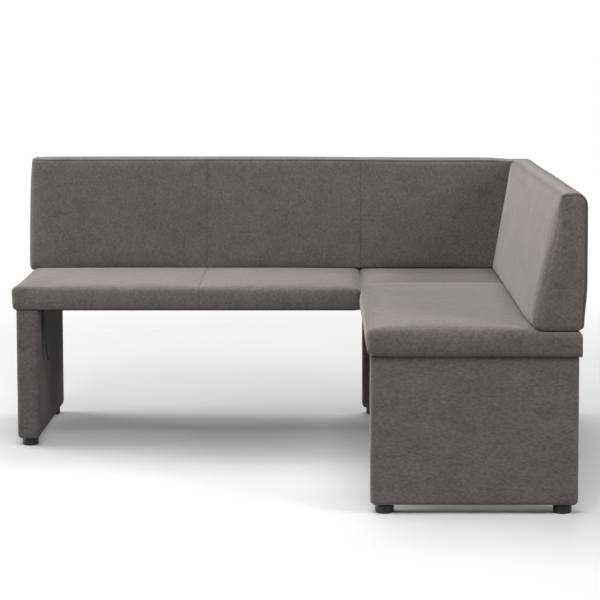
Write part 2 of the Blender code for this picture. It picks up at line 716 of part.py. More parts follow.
def panel_leg(name, x0, y0, length_axis, feet):
    """A padded panel leg: chipboard core, cover, two glides and their bores."""
    size = [LEG_THICKNESS, LEG_THICKNESS, LEG_TOP - LEG_BOTTOM]
    size[length_axis] = LEG_WIDTH
    low = (x0, y0, LEG_BOTTOM)
    high = tuple(a + b for a, b in zip(low, size))
    middle = [(a + b) / 2 for a, b in zip(low, high)]
    roll = LEG_EDGE_ROLL
    stations = [None, None, (LEG_BOTTOM + LEG_FOOT_ROLL, middle[2], LEG_TOP - LEG_TOP_ROLL)]
    stations[length_axis] = (low[length_axis] + roll, middle[length_axis],
                             high[length_axis] - roll)
    thick_axis = 1 - length_axis
    stations[thick_axis] = (low[thick_axis] + roll, high[thick_axis] - roll)

    def form(p):
        rise = swell(p.z, LEG_BOTTOM, LEG_TOP)
        along = swell(p[length_axis], low[length_axis], high[length_axis])
        if near(p[thick_axis], low[thick_axis]):
            p[thick_axis] -= LEG_SWELL * rise * along
        elif near(p[thick_axis], high[thick_axis]):
            p[thick_axis] += LEG_SWELL * rise * along
        return p

    cover = soft_block(f"{name}_cover", low, high, stations, form)
    hollow_low = [a + LEG_PADDING for a in low]
    hollow_high = [a - LEG_PADDING for a in high]
    hollow_high[2] = LEG_TOP + CUT_MARGIN
    combine(cover, box_cutter(f"{name}_hollow", hollow_low, hollow_high), "DIFFERENCE")
    core_low = [a + FIT for a in hollow_low]
    core_high = [a - FIT for a in hollow_high]
    core_high[2] = LEG_TOP
    core = box(f"{name}_core", core_low, core_high, "chipboard")
    centres = []
    for foot, place in zip(feet, (low[length_axis] + FOOT_INSET,
                                  high[length_axis] - FOOT_INSET)):
        centre = [middle[0], middle[1]]
        centre[length_axis] = place
        centres.append((*centre, (LEG_BOTTOM + STEM_TOP) / 2))
        glide(f"foot_{foot}", centre)
    bores = rods_mesh(f"{name}_stem_bores", centres, "Z", STEM_RADIUS + 2 * FIT,
                      STEM_TOP - LEG_BOTTOM + STEM_RADIUS)
    bore_cutter = add_cutter(f"{name}_stem_bores", bores)
    combine(core, bore_cutter, "DIFFERENCE")
    combine(cover, bore_cutter, "DIFFERENCE")


def glide(name, centre):
    """A turned plastic glide with a rounded lower edge and its steel stem in one profile."""
    profile = [(0, STEM_TOP), (STEM_RADIUS, STEM_TOP), (STEM_RADIUS, FOOT_TOP),
               (FOOT_RADIUS - 0.001, FOOT_TOP), (FOOT_RADIUS, FOOT_TOP - 0.003),
               (FOOT_RADIUS - 0.0005, 0.006), (FOOT_RADIUS - 0.002, 0.002),
               (FOOT_RADIUS - 0.005, 0), (0, 0)]
    shape = bmesh.new()
    rim = [shape.verts.new((radius, 0, height)) for radius, height in profile]
    for first, second in zip(rim[:-1], rim[1:]):
        shape.edges.new((first, second))
    mesh = bpy.data.meshes.new(name)
    shape.to_mesh(mesh)
    shape.free()
    foot = add_part(name, mesh, "black plastic")
    foot.location = (centre[0], centre[1], 0)
    turned = foot.modifiers.new("turned", "SCREW")
    turned.steps = GLIDE_STEPS
    turned.render_steps = GLIDE_STEPS
    turned.use_merge_vertices = True
    turned.merge_threshold = 0.00005


def bracket(name, corner, out_axis, direction):
    """An angle bracket in the corner under a seat, against a panel leg's inner face."""
    x, y = corner
    top = SEAT_UNDERSIDE - FIT
    half = BRACKET_WIDTH / 2
    base = x if out_axis == 0 else y
    reach = [base + direction * a for a in (0, STEEL, BRACKET_LEG)]
    outline = [(reach[0], top), (reach[2], top), (reach[2], top - STEEL),
               (reach[1], top - STEEL), (reach[1], top - BRACKET_LEG),
               (reach[0], top - BRACKET_LEG)]
    across = y if out_axis == 0 else x
    angle = extrusion(name, outline, "Y" if out_axis == 0 else "X", across - half, across + half,
                      "black steel")
    upright, flat = [], []
    for offset in (-half / 2, half / 2):
        drop = top - BRACKET_LEG * BRACKET_HOLE_SHARE
        out = base + direction * BRACKET_LEG * BRACKET_HOLE_SHARE
        if out_axis == 0:
            upright.append((x, y + offset, drop))
            flat.append((out, y + offset, top))
        else:
            upright.append((x + offset, y, drop))
            flat.append((x + offset, out, top))
    for label, places, axis in (("upright", upright, "X" if out_axis == 0 else "Y"),
                                ("flat", flat, "Z")):
        holes = rods_mesh(f"{name}_{label}_holes", places, axis, SCREW_HOLE, 4 * STEEL, 8)
        combine(angle, add_cutter(f"{name}_{label}_holes", holes), "DIFFERENCE")


def leg_brackets():
    """Two angle brackets inside each panel leg."""
    inner_x = LEFT_LEG_X + LEG_THICKNESS + LEG_SWELL + FIT
    rear_y = LEFT_LEG_Y + LEG_WIDTH - BRACKET_SETBACK
    for side, y in (("front", LEFT_LEG_Y + LEFT_BRACKET_SETBACK), ("rear", rear_y)):
        bracket(f"left_leg_bracket_{side}", (inner_x, y), 0, 1)
    front_face = FRONT_LEG_Y + LEG_THICKNESS + LEG_SWELL + FIT
    rear_face = REAR_LEG_Y - LEG_SWELL - FIT
    right_x = SHORT_LEG_X + LEG_WIDTH - BRACKET_SETBACK
    for side, x in (("left", SHORT_LEG_X + BRACKET_SETBACK), ("right", right_x)):
        bracket(f"front_leg_bracket_{side}", (x, front_face), 1, 1)
        bracket(f"rear_leg_bracket_{side}", (x, rear_face), 1, -1)


def seat_connectors():
    """Flat plates under the joint that hang the long seat on the short one."""
    for side, y in zip(("front", "rear"), CONNECTOR_CENTRES):
        half_x, half_y = CONNECTOR_LENGTH / 2, CONNECTOR_WIDTH / 2
        top = SEAT_UNDERSIDE - FIT
        corner = CONNECTOR_CORNER
        outline = [(SHORT_SEAT_LEFT + sx * (half_x - cx), y + sy * (half_y - cy))
                   for sx, sy, cx, cy in ((1, 1, corner, 0), (-1, 1, corner, 0), (-1, 1, 0, corner),
                                          (-1, -1, 0, corner), (-1, -1, corner, 0),
                                          (1, -1, corner, 0), (1, -1, 0, corner),
                                          (1, 1, 0, corner))]
        plate = extrusion(f"seat_connector_{side}", outline, "Z", top - STEEL, top, "zinc steel")
        places = [(SHORT_SEAT_LEFT + dx, y + dy, top - STEEL / 2)
                  for dx in (-CONNECTOR_HOLE_X, CONNECTOR_HOLE_X)
                  for dy in (-CONNECTOR_HOLE_Y, CONNECTOR_HOLE_Y)]
        holes = rods_mesh(f"seat_connector_{side}_holes", places, "Z", SCREW_HOLE, 4 * STEEL, 8)
        combine(plate, add_cutter(f"seat_connector_{side}_holes", holes), "DIFFERENCE")


def strap_tail():
    """A short strap that hangs from the seat's underside beside the left leg."""
    start = LEFT_LEG_X + LEG_THICKNESS + LEG_SWELL + FIT + STRAP_THICKNESS
    top = SEAT_UNDERSIDE - SOFT_FIT
    line = []
    for i in range(STRAP_STEPS + 1):
        t = i / STRAP_STEPS
        line.append((start + STRAP_LEAN * t ** 1.4, top - STRAP_LENGTH * t))
    end_x, end_z = line[-1]
    line.append((end_x + STRAP_HOOK, end_z - 0.75 * STRAP_HOOK))
    line.append((end_x + 2 * STRAP_HOOK, end_z - 0.5 * STRAP_HOOK))
    shape = bmesh.new()
    rows = []
    for x, z in line:
        rows.append([shape.verts.new((x, STRAP_Y + side * STRAP_WIDTH / 2, z)) for side in (-1, 1)])
    for first, second in zip(rows[:-1], rows[1:]):
        shape.faces.new((first[0], first[1], second[1], second[0]))
    mesh = bpy.data.meshes.new("strap_tail")
    shape.to_mesh(mesh)
    shape.free()
    strap = add_part("strap_tail", mesh, "webbing")
    thick = strap.modifiers.new("thickness", "SOLIDIFY")
    thick.thickness = STRAP_THICKNESS
    thick.offset = 0


def build():
    clear_scene()
    long_seat()
    short_seat()
    long_back()
    right_back()
    for name, x, y, seat, rail, back in (
            ("back_bolt_long_left", -0.60, LONG_BACK_BOLT_Y, "long_seat", "long_seat_rear_rail",
             "long_back"),
            ("back_bolt_long_right", 0.02, LONG_BACK_BOLT_Y, "long_seat", "long_seat_rear_rail",
             "long_back"),
            ("back_bolt_right_front", RIGHT_BACK_BOLT_X, -0.45, "short_seat",
             "short_seat_right_rail", "right_back"),
            ("back_bolt_right_rear", RIGHT_BACK_BOLT_X, 0.30, "short_seat",
             "short_seat_right_rail", "right_back")):
        back_bolt(name, x, y, seat, rail, back)
    panel_leg("left_leg", LEFT_LEG_X, LEFT_LEG_Y, 1, ("left_front", "left_rear"))
    panel_leg("front_leg", SHORT_LEG_X, FRONT_LEG_Y, 0, ("front_left", "front_right"))
    panel_leg("rear_leg", SHORT_LEG_X, REAR_LEG_Y, 0, ("rear_left", "rear_right"))
    leg_brackets()
    seat_connectors()
    strap_tail()


build()
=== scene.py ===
"""An upholstered corner kitchen bench in its microfibre covers, in plain soft studio light."""
import json
import math

import bmesh
import bpy
from mathutils import Matrix, Vector


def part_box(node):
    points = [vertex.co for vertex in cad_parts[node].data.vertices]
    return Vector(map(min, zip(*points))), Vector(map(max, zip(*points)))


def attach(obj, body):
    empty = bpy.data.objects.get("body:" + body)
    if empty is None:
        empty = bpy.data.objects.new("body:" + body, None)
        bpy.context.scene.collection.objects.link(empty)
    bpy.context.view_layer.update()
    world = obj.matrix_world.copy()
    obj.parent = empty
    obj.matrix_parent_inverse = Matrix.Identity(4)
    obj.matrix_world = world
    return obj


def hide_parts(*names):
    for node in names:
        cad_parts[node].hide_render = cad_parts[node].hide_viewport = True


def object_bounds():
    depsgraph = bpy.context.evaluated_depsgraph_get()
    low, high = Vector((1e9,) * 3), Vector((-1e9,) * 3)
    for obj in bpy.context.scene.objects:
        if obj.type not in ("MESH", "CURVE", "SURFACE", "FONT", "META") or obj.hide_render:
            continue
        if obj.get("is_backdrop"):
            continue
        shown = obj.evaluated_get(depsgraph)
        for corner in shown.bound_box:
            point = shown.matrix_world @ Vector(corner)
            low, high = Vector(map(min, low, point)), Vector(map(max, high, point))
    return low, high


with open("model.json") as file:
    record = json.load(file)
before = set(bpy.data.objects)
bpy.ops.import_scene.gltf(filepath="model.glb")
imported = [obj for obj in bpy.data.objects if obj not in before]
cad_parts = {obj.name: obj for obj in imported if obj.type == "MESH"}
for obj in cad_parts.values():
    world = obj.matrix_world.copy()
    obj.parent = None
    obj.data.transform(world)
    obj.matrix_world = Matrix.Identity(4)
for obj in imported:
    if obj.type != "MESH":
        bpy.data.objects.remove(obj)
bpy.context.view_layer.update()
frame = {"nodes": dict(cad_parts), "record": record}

NODES = frame["nodes"]


# Sizes in metres

MM = 0.001
# The covers' grid, and its finer cuts from an edge and to both sides of a seam
GRID = 12 * MM
EDGE_CUTS = [step * MM for step in (2, 5, 9, 14, 20, 28)]
SEAM_CUTS = [step * MM for step in (-18, -9, -4.4, -1.9, 0, 1.9, 4.4, 9, 18)]
# How far to each side a seam draws the cover in, and how far its dark line reaches
VALLEY = 9 * MM
STITCH_LINE = 1.9 * MM
CLOTH_FRAMES = 8


# Materials

# Sizes of the patterns. The real nap of the cloth and fibres of the wood are finer than this, and
# are drawn as coarse as they need to be to show.
NAP_SIZE, MOTTLE_SIZE, CLOUD_SIZE, DRIFT_SIZE = 1.613 * MM, 6.667 * MM, 38.46 * MM, 111.1 * MM
FIBRE_SIZE = 1.111 * MM
# A wave texture repeats after this length, over its scale
WAVE_PERIOD = 0.314


def linear(hex_colour):
    """An sRGB hex colour as linear RGBA."""
    channels = [int(hex_colour[i:i + 2], 16) / 255 for i in (1, 3, 5)]
    curve = [c / 12.92 if c <= 0.04045 else ((c + 0.055) / 1.055) ** 2.4 for c in channels]
    return (*curve, 1.0)


def add(tree, kind, inputs=None, **settings):
    """Add a shader node, with its settings, the values of its inputs and the links into them."""
    made = tree.nodes.new("ShaderNode" + kind)
    for name, value in settings.items():
        setattr(made, name, value)
    for name, value in (inputs or {}).items():
        if isinstance(value, bpy.types.NodeSocket):
            tree.links.new(value, made.inputs[name])
        else:
            made.inputs[name].default_value = value
    return made


def material(name):
    """An empty material with its Principled shader."""
    made = bpy.data.materials.new(name)
    made.use_nodes = True
    return made, made.node_tree, made.node_tree.nodes["Principled BSDF"]


def microfibre(name, streak, bloom=0.4):
    """Brushed microfibre cloth: a short nap that is mottled, with a pale bloom at a low angle.

    streak gives how much finer the mottling is along X, Y and Z, and bloom is the sheen's
    strength.
    """
    made, tree, shader = material(name)
    place = add(tree, "TexCoord").outputs["Object"]
    drawn = add(tree, "VectorMath", {0: place, 1: streak}, operation="MULTIPLY").outputs[0]
    mottle = add(tree, "TexNoise", {"Vector": drawn, "Scale": 1 / MOTTLE_SIZE, "Detail": 3.0,
                                    "Roughness": 0.6}).outputs["Fac"]
    cloud = add(tree, "TexNoise", {"Vector": drawn, "Scale": 1 / CLOUD_SIZE, "Detail": 4.0,
                                   "Roughness": 0.62}).outputs["Fac"]
    nap = add(tree, "TexNoise", {"Vector": drawn, "Scale": 1 / NAP_SIZE,
                                 "Detail": 2.0}).outputs["Fac"]
    both = add(tree, "MapRange", {0: mottle, 1: 0.28, 2: 0.72, 3: 0.0, 4: 1.0}).outputs[0]
    tone = add(tree, "Mix", {0: both, 6: linear("#4A4543"), 7: linear("#68625E")},
               data_type="RGBA").outputs[2]
    cloudy = add(tree, "MapRange", {0: cloud, 1: 0.3, 2: 0.7, 3: 0.0, 4: 0.24}).outputs[0]
    tone = add(tree, "Mix", {0: cloudy, 6: tone, 7: linear("#756F6B")},
               data_type="RGBA").outputs[2]
    # Painted shade: this attribute darkens the colour, and pales it as painted light where
    # negative
    turned = add(tree, "Attribute", attribute_name="turned").outputs["Fac"]
    shade = add(tree, "Math", {0: turned, 1: -0.5, 2: 1.0}, operation="MULTIPLY_ADD").outputs[0]
    drift = add(tree, "TexNoise", {"Vector": place, "Scale": 1 / DRIFT_SIZE, "Detail": 3.0,
                                   "Roughness": 0.6}).outputs["Fac"]
    patch = add(tree, "MapRange", {0: drift, 1: 0.35, 2: 0.65, 3: 0.95, 4: 1.05}).outputs[0]
    shade = add(tree, "Math", {0: shade, 1: patch}, operation="MULTIPLY").outputs[0]
    tone = add(tree, "VectorMath", {0: tone, "Scale": shade}, operation="SCALE").outputs[0]
    seam = add(tree, "Attribute", attribute_name="seam").outputs["Fac"]
    tone = add(tree, "Mix", {0: seam, 6: tone, 7: linear("#141210")},
               data_type="RGBA").outputs[2]
    tree.links.new(tone, shader.inputs["Base Color"])
    shader.inputs["Roughness"].default_value = 0.92
    shader.inputs["Specular IOR Level"].default_value = 0.2
    shader.inputs["Sheen Weight"].default_value = bloom
    shader.inputs["Sheen Roughness"].default_value = 0.4
    shader.inputs["Sheen Tint"].default_value = linear("#D9D4D0")
    height = add(tree, "Math", {0: mottle, 1: nap}, operation="ADD").outputs[0]
    lie = add(tree, "Bump", {"Height": cloud, "Strength": 0.8, "Distance": 1.8 * MM})
    bump = add(tree, "Bump", {"Height": height, "Strength": 0.35, "Distance": 0.5 * MM,
                              "Normal": lie.outputs["Normal"]})
    tree.links.new(bump.outputs["Normal"], shader.inputs["Normal"])
    return made


def plain(name, dark, pale, grain_size, roughness, metallic=0.0):
    """A finish with an even grain between two tones, drawn coarser than the real one to show."""
    made, tree, shader = material(name)
    place = add(tree, "TexCoord").outputs["Object"]
    grain = add(tree, "TexNoise", {"Vector": place, "Scale": 1 / grain_size,
                                   "Detail": 3.0}).outputs["Fac"]
    tone = add(tree, "Mix", {0: grain, 6: linear(dark), 7: linear(pale)},
               data_type="RGBA").outputs[2]
    tree.links.new(tone, shader.inputs["Base Color"])
    shader.inputs["Roughness"].default_value = roughness
    shader.inputs["Metallic"].default_value = metallic
    bump = add(tree, "Bump", {"Height": grain, "Strength": 0.1, "Distance": 0.2 * MM})
    tree.links.new(bump.outputs["Normal"], shader.inputs["Normal"])
    return made


def wood(name, dark, pale, ring_pitch, along):
    """Planed wood: rings at a pitch in metres, drawn out along one axis."""
    made, tree, shader = material(name)
    place = add(tree, "TexCoord").outputs["Object"]
    stretch = [1.0, 1.0, 1.0]
    stretch[along] = 0.06
    drawn = add(tree, "VectorMath", {0: place, 1: stretch}, operation="MULTIPLY").outputs[0]
    rings = add(tree, "TexWave", {"Vector": drawn, "Scale": WAVE_PERIOD / ring_pitch,
                                  "Distortion": 6.0, "Detail": 3.0, "Detail Scale": 1.4},
                wave_type="RINGS", rings_direction="XYZ"[along]).outputs["Fac"]
    fibre = add(tree, "TexNoise", {"Vector": drawn, "Scale": 1 / FIBRE_SIZE,
                                   "Detail": 3.0}).outputs["Fac"]
    tone = add(tree, "Mix", {0: rings, 6: linear(dark), 7: linear(pale)},
               data_type="RGBA").outputs[2]
    shade = add(tree, "MapRange", {0: fibre, 1: 0.3, 2: 0.7, 3: 0.86, 4: 1.06}).outputs[0]
    tone = add(tree, "VectorMath", {0: tone, "Scale": shade}, operation="SCALE").outputs[0]
    tree.links.new(tone, shader.inputs["Base Color"])
    shader.inputs["Roughness"].default_value = 0.6
    bump = add(tree, "Bump", {"Height": fibre, "Strength": 0.25, "Distance": 0.2 * MM})
    tree.links.new(bump.outputs["Normal"], shader.inputs["Normal"])
    return made


def flaked(name, dark, pale, flake, roughness, metallic=0.0, relief=0.1):
    """A surface of small flakes, dots or crystals, each with its own tone. flake is their size."""
    made, tree, shader = material(name)
    place = add(tree, "TexCoord").outputs["Object"]
    cell = add(tree, "TexVoronoi", {"Vector": place, "Scale": 1.0 / flake}).outputs["Color"]
    grain = add(tree, "TexNoise", {"Vector": place, "Scale": 3.0 / flake, "Detail": 2.0})
    share = add(tree, "SeparateColor", {"Color": cell}).outputs["Red"]
    mixed = add(tree, "Math", {0: share, 1: grain.outputs["Fac"]}, operation="MULTIPLY")
    tone = add(tree, "Mix", {0: mixed.outputs[0], 6: linear(dark), 7: linear(pale)},
               data_type="RGBA").outputs[2]
    tree.links.new(tone, shader.inputs["Base Color"])
    rough = add(tree, "MapRange", {0: share, 3: roughness - 0.06, 4: roughness + 0.06})
    tree.links.new(rough.outputs[0], shader.inputs["Roughness"])
    shader.inputs["Metallic"].default_value = metallic
    bump = add(tree, "Bump", {"Height": mixed.outputs[0], "Strength": relief,
                              "Distance": 0.2 * MM})
    tree.links.new(bump.outputs["Normal"], shader.inputs["Normal"])
    return made


def woven_strap(name):
    """Narrow woven webbing: ribs across it, 1.6 mm apart, and threads along it, 1.2 mm apart."""
    made, tree, shader = material(name)
    place = add(tree, "TexCoord").outputs["Object"]
    ribs = add(tree, "TexWave", {"Vector": place, "Scale": WAVE_PERIOD / (1.6 * MM),
                                 "Distortion": 1.0, "Detail": 1.0},
               bands_direction="Z").outputs["Fac"]
    warp = add(tree, "TexWave", {"Vector": place, "Scale": WAVE_PERIOD / (1.2 * MM),
                                 "Distortion": 0.6, "Detail": 1.0},
               bands_direction="Y").outputs["Fac"]
    weave = add(tree, "Math", {0: ribs, 1: warp}, operation="MULTIPLY").outputs[0]
    tone = add(tree, "Mix", {0: weave, 6: linear("#121214"), 7: linear("#2B2B2F")},
               data_type="RGBA").outputs[2]
    tree.links.new(tone, shader.inputs["Base Color"])
    shader.inputs["Roughness"].default_value = 0.8
    bump = add(tree, "Bump", {"Height": weave, "Strength": 0.6, "Distance": 0.4 * MM})
    tree.links.new(bump.outputs["Normal"], shader.inputs["Normal"])
    return made


# Brushed polyester microfibre: matt, mottled by the lie of its nap, with a soft pale bloom
COVER = microfibre("brushed microfibre cover", (1.0, 1.0, 1.0))
# The same cloth on the panel legs, its nap brushed across, so the mottling lies in short dashes
LEG_COVER = microfibre("brushed microfibre leg cover", (0.6, 0.6, 1.2))
# A shaded copy of the same cloth for the left leg, nearly without the pale bloom
SHADED_LEG_COVER = microfibre("shaded copy of the microfibre leg cover", (0.6, 0.6, 1.2), 0.08)
# Point-bonded polypropylene non-woven: dull, with a fine fleck from its bonded dots
LINING = flaked("point-bonded rear lining", "#57524C", "#746E67", 2.2 * MM, 0.92, relief=0.4)
# Spun-bonded black non-woven: dull, nearly black, the same fleck finer
DUST_CLOTH = flaked("spun-bonded dust cloth", "#1A1A1D", "#323236", 1.6 * MM, 0.92, relief=0.4)
# Woven black polypropylene: dark, with ribs that catch a little light
WEBBING = woven_strap("woven polypropylene webbing")
# Planed pine: dark rings 7.85 mm apart with pale wood between, drawn out along each rail
PINES = [wood(f"planed pine along {'XYZ'[along]}", "#B58C58", "#D6B687", 7.85 * MM, along)
         for along in range(3)]
# Raw chipboard: flakes 3 mm across in mixed browns
CHIPBOARD = flaked("raw chipboard", "#86694A", "#D3BB90", 3 * MM, 0.85, relief=0.5)
# Brown hardboard: pressed fibre, nearly even, with fine dark specks
HARDBOARD = flaked("pressed hardboard", "#553A25", "#846240", 0.8 * MM, 0.72, relief=0.3)
# Oiled spring wire: dark bare steel with a soft grain
SPRING_STEEL = plain("oiled spring wire", "#4E5054", "#7A7D82", 2 * MM, 0.4, 1.0)
# Zinc-plated steel: pale, with crystals 2 mm across that differ in gloss
ZINC = flaked("zinc-plated steel", "#A3A6AA", "#C9CBCD", 2 * MM, 0.36, 1.0, relief=0.15)
# Black passivated steel: dark with a faint metal gloss
BLACK_STEEL = plain("black passivated steel", "#161719", "#232528", 3.333 * MM, 0.48, 0.3)
# Moulded black polypropylene: fine spark-eroded texture, soft gloss
BLACK_PLASTIC = plain("moulded black polypropylene", "#131315", "#1F1F22", 0.8333 * MM, 0.48)
# Moulded natural polypropylene: milky white, slightly waxy
CLIP_PLASTIC = plain("natural moulded polypropylene", "#CFCDC5", "#DEDCD5", 3.333 * MM, 0.45)

FINISHES = {
    "chipboard": CHIPBOARD,
    "hardboard": HARDBOARD,
    "dust_cloth": DUST_CLOTH,
    "rear_cloth": LINING,
    "spring_steel": SPRING_STEEL,
    "zinc_steel": ZINC,
    "black_steel": BLACK_STEEL,
    "black_plastic": BLACK_PLASTIC,
    "clip_plastic": CLIP_PLASTIC,
    "webbing": WEBBING,
}


# Padded covers


def grid_places(low, high, kept):
    """Places along an axis: the kept ones, with the gaps between them shared out evenly."""
    fixed = sorted({low, high, *[k for k in kept if low < k < high]})
    places = []
    for first, second in zip(fixed[:-1], fixed[1:]):
        count = max(1, math.ceil((second - first) / GRID - 0.01))
        places += [first + (second - first) * i / count for i in range(count)]
    return places[1:]


def block(low, high, kept):
    """A box cut into a grid, with the kept places among the cuts along X, Y and Z."""
    shape = bmesh.new()
    bmesh.ops.create_cube(shape, size=1.0)
    bmesh.ops.scale(shape, vec=high - low, verts=shape.verts)
    bmesh.ops.translate(shape, vec=(low + high) / 2, verts=shape.verts)
    for axis in range(3):
        normal = Vector((0, 0, 0))
        normal[axis] = 1
        for place in grid_places(low[axis], high[axis], kept[axis]):
            geometry = shape.verts[:] + shape.edges[:] + shape.faces[:]
            bmesh.ops.bisect_plane(shape, geom=geometry, dist=1e-6, plane_co=normal * place,
                                   plane_no=normal)
    return shape


def edge_cuts(low, high):
    """Cuts near both ends of a side, which give its rounded edges enough points."""
    return [low + cut for cut in EDGE_CUTS] + [high - cut for cut in EDGE_CUTS]


def rounded(p, low, high, radius_low, radius_high):
    """Where a point on a box's skin lies once its edges are rounded, each side by its radius."""
    core, lean, reach = Vector(p), Vector((0, 0, 0)), Vector((0, 0, 0))
    for i in range(3):
        inner_low, inner_high = low[i] + radius_low[i], high[i] - radius_high[i]
        if p[i] < inner_low:
            core[i], reach[i] = inner_low, radius_low[i]
        elif p[i] > inner_high:
            core[i], reach[i] = inner_high, radius_high[i]
        else:
            continue
        lean[i] = math.tan((p[i] - core[i]) / reach[i] * math.pi / 4)
    lean.normalize()
    return core + Vector([lean[i] * reach[i] for i in range(3)])


def ease(value, start, end):
    """0 before start, 1 after end and a soft rise between."""
    t = min(1.0, max(0.0, (value - start) / (end - start)))
    return t * t * (3 - 2 * t)


def blend(first, second, share):
    """A value between two, by a share from 0 to 1."""
    return first + (second - first) * share


def piece(name, shape, finish, smooth=True):
    """Make an object of a shape, with its finish."""
    mesh = bpy.data.meshes.new(name)
    shape.to_mesh(mesh)
    shape.free()
    if smooth:
        mesh.shade_smooth()
    mesh.materials.append(finish)
    obj = bpy.data.objects.new(name, mesh)
    bpy.context.scene.collection.objects.link(obj)
    return obj


def puff(obj, hold, pressure, cap):
    """Blow a cover up as cloth over its filling.

    hold(point) tells how firmly a point is fastened, from 0 to 1, and cap is how far one may go.
    """
    group = obj.vertex_groups.new(name="held")
    for vertex in obj.data.vertices:
        group.add([vertex.index], hold(vertex.co), "REPLACE")
    cloth = obj.modifiers.new("filling", "CLOTH")
    settings = cloth.settings
    settings.quality = 5
    settings.mass = 0.25
    settings.tension_stiffness = 40
    settings.compression_stiffness = 40
    settings.shear_stiffness = 16
    settings.bending_stiffness = 0.4
    settings.use_pressure = True
    settings.uniform_pressure_force = pressure
    settings.effector_weights.gravity = 0
    settings.vertex_group_mass = "held"
    cloth.collision_settings.use_collision = False
    cloth.point_cache.frame_start = 1
    cloth.point_cache.frame_end = CLOTH_FRAMES
    scene = bpy.context.scene
    for number in range(1, CLOTH_FRAMES + 1):
        scene.frame_set(number)
    evaluated = obj.evaluated_get(bpy.context.evaluated_depsgraph_get())
    travel = [b.co - a.co for a, b in zip(obj.data.vertices, evaluated.data.vertices)]
    obj.modifiers.remove(cloth)
    obj.vertex_groups.remove(group)
    for vertex, way in zip(obj.data.vertices, travel):
        vertex.co += way * min(1.0, cap / max(way.length, 1e-9))
    scene.frame_set(1)


def sew(obj, seams, turned=lambda p: 0.0):
    """Draw the cover in along its seams and mark them in the attribute seam.

    Each seam has a function of a point that gives its distance, or None away from the seam,
    then its depth and how dark its line is. The last argument gives the painted shade at a point,
    which darkens the cloth's colour; where it is negative it is painted light, which pales it.
    """
    mesh = obj.data
    mark = mesh.attributes.new("seam", "FLOAT", "POINT")
    # This layer holds painted shade, and painted light where it is negative
    nap = mesh.attributes.new("turned", "FLOAT", "POINT")
    normals = [vertex.normal.copy() for vertex in mesh.vertices]
    for vertex, normal in zip(mesh.vertices, normals):
        drawn, dark = 0.0, 0.0
        nap.data[vertex.index].value = turned(vertex.co)
        for seam, depth, darkness in seams:
            distance = seam(vertex.co)
            if distance is not None and distance < VALLEY:
                drawn = max(drawn, depth * (1 - distance / VALLEY) ** 2)
                dark = max(dark, darkness * max(0.0, 1 - distance / STITCH_LINE))
        vertex.co -= normal * drawn
        mark.data[vertex.index].value = dark


def refine(obj):
    """One smooth subdivision, kept in the mesh."""
    modifier = obj.modifiers.new("smooth", "SUBSURF")
    modifier.levels = 1
    modifier.render_levels = 1
    evaluated = obj.evaluated_get(bpy.context.evaluated_depsgraph_get())
    mesh = bpy.data.meshes.new_from_object(evaluated)
    obj.modifiers.clear()
    old = obj.data
    obj.data = mesh
    bpy.data.meshes.remove(old)
    mesh.name = obj.name


def hollow(obj, axis, side, low, high, reach, slack=0.1 * MM):
    """Open a flat side over a rectangle and sink it, for the frame inside.

    axis and side give the flat side's plane, low and high the rectangle's corners on the other
    two axes, and reach(point) where a sunk point lies along the axis. slack is how far a face
    of the side may be off its plane.
    """
    shape = bmesh.new()
    shape.from_mesh(obj.data)
    others = [i for i in range(3) if i != axis]

    def flat():
        return [f for f in shape.faces if all(abs(v.co[axis] - side) < slack for v in f.verts)]

    for i, other in enumerate(others):
        for place in (low[i], high[i]):
            faces = flat()
            geometry = list({v for f in faces for v in f.verts}) + list(
                {e for f in faces for e in f.edges}) + faces
            normal, point = Vector((0, 0, 0)), Vector((0, 0, 0))
            normal[other], point[other] = 1, place
            bmesh.ops.bisect_plane(shape, geom=geometry, dist=1e-6, plane_co=point,
                                   plane_no=normal)
    inside = [f for f in flat()
              if all(low[i] < f.calc_center_median()[other] < high[i]
                     for i, other in enumerate(others))]
    bmesh.ops.delete(shape, geom=inside, context="FACES")
    rim = [e for e in shape.edges if e.is_boundary]
    made = bmesh.ops.extrude_edge_only(shape, edges=rim)["geom"]
    sunk = [e for e in made if isinstance(e, bmesh.types.BMVert)]
    for vertex in sunk:
        vertex.co[axis] = reach(vertex.co)
    loop = [e for e in made if isinstance(e, bmesh.types.BMEdge) and e.is_boundary]
    bmesh.ops.contextual_create(shape, geom=loop)
    bmesh.ops.recalc_face_normals(shape, faces=shape.faces)
    shape.to_mesh(obj.data)
    shape.free()


def dress(obj, replaced):
    """Attach a padded cover to the bench and hide the solid of the frame that it stands for."""
    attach(obj, "root")
    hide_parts(replaced)


# The covers of this bench

RIGHT, BACK, TOP = 0.840, 0.710, 0.860
PAD_PRESSURE, PAD_CAP = 0.55, 9 * MM
# How firmly a cover is held at the sides of a seat, and at the seams of a seat and a backrest
SIDE_HOLD, SEAT_SEAM_HOLD, BACK_SEAM_HOLD = 0.9, 0.15, 0.45
# How near a point has to be to a fastened plane to be held by it
FIRM = 1 * MM
# The functions below that are called radii work in millimetres and give metres

# Seats: their heights, where the backrests press them, and the hollow for cloth and frame below
SEAT_UNDERSIDE, SEAT_TOP, SEAT_PRESSED = 0.4250, 0.4995, 0.4925
SEAT_HEIGHTS = (0.440, 0.455, 0.470)
SEAT_TUCK, TUCK_REACH, SAG = 6 * MM, 60 * MM, 3.5 * MM
CLOTH_INSET, CLOTH_DEPTH, SEAT_WALL, FRAME_TOP = 14 * MM, 1.3 * MM, 20 * MM, 0.4595
LONG_SEAT_SEAM, SHORT_SEAT_SEAM = -0.240, 0.205
SHORT_SEAT_BUTTED = 0.118
# The bulge of the short seat's left side, the height of its middle and how far up and down it goes
BULGE, BULGE_HEIGHT, BULGE_REACH = 6 * MM, 0.455, 0.034
PRESS_CUTS = [step * MM for step in (-30, -18, -9, -2, 3, 8, 13, 20, 30)]

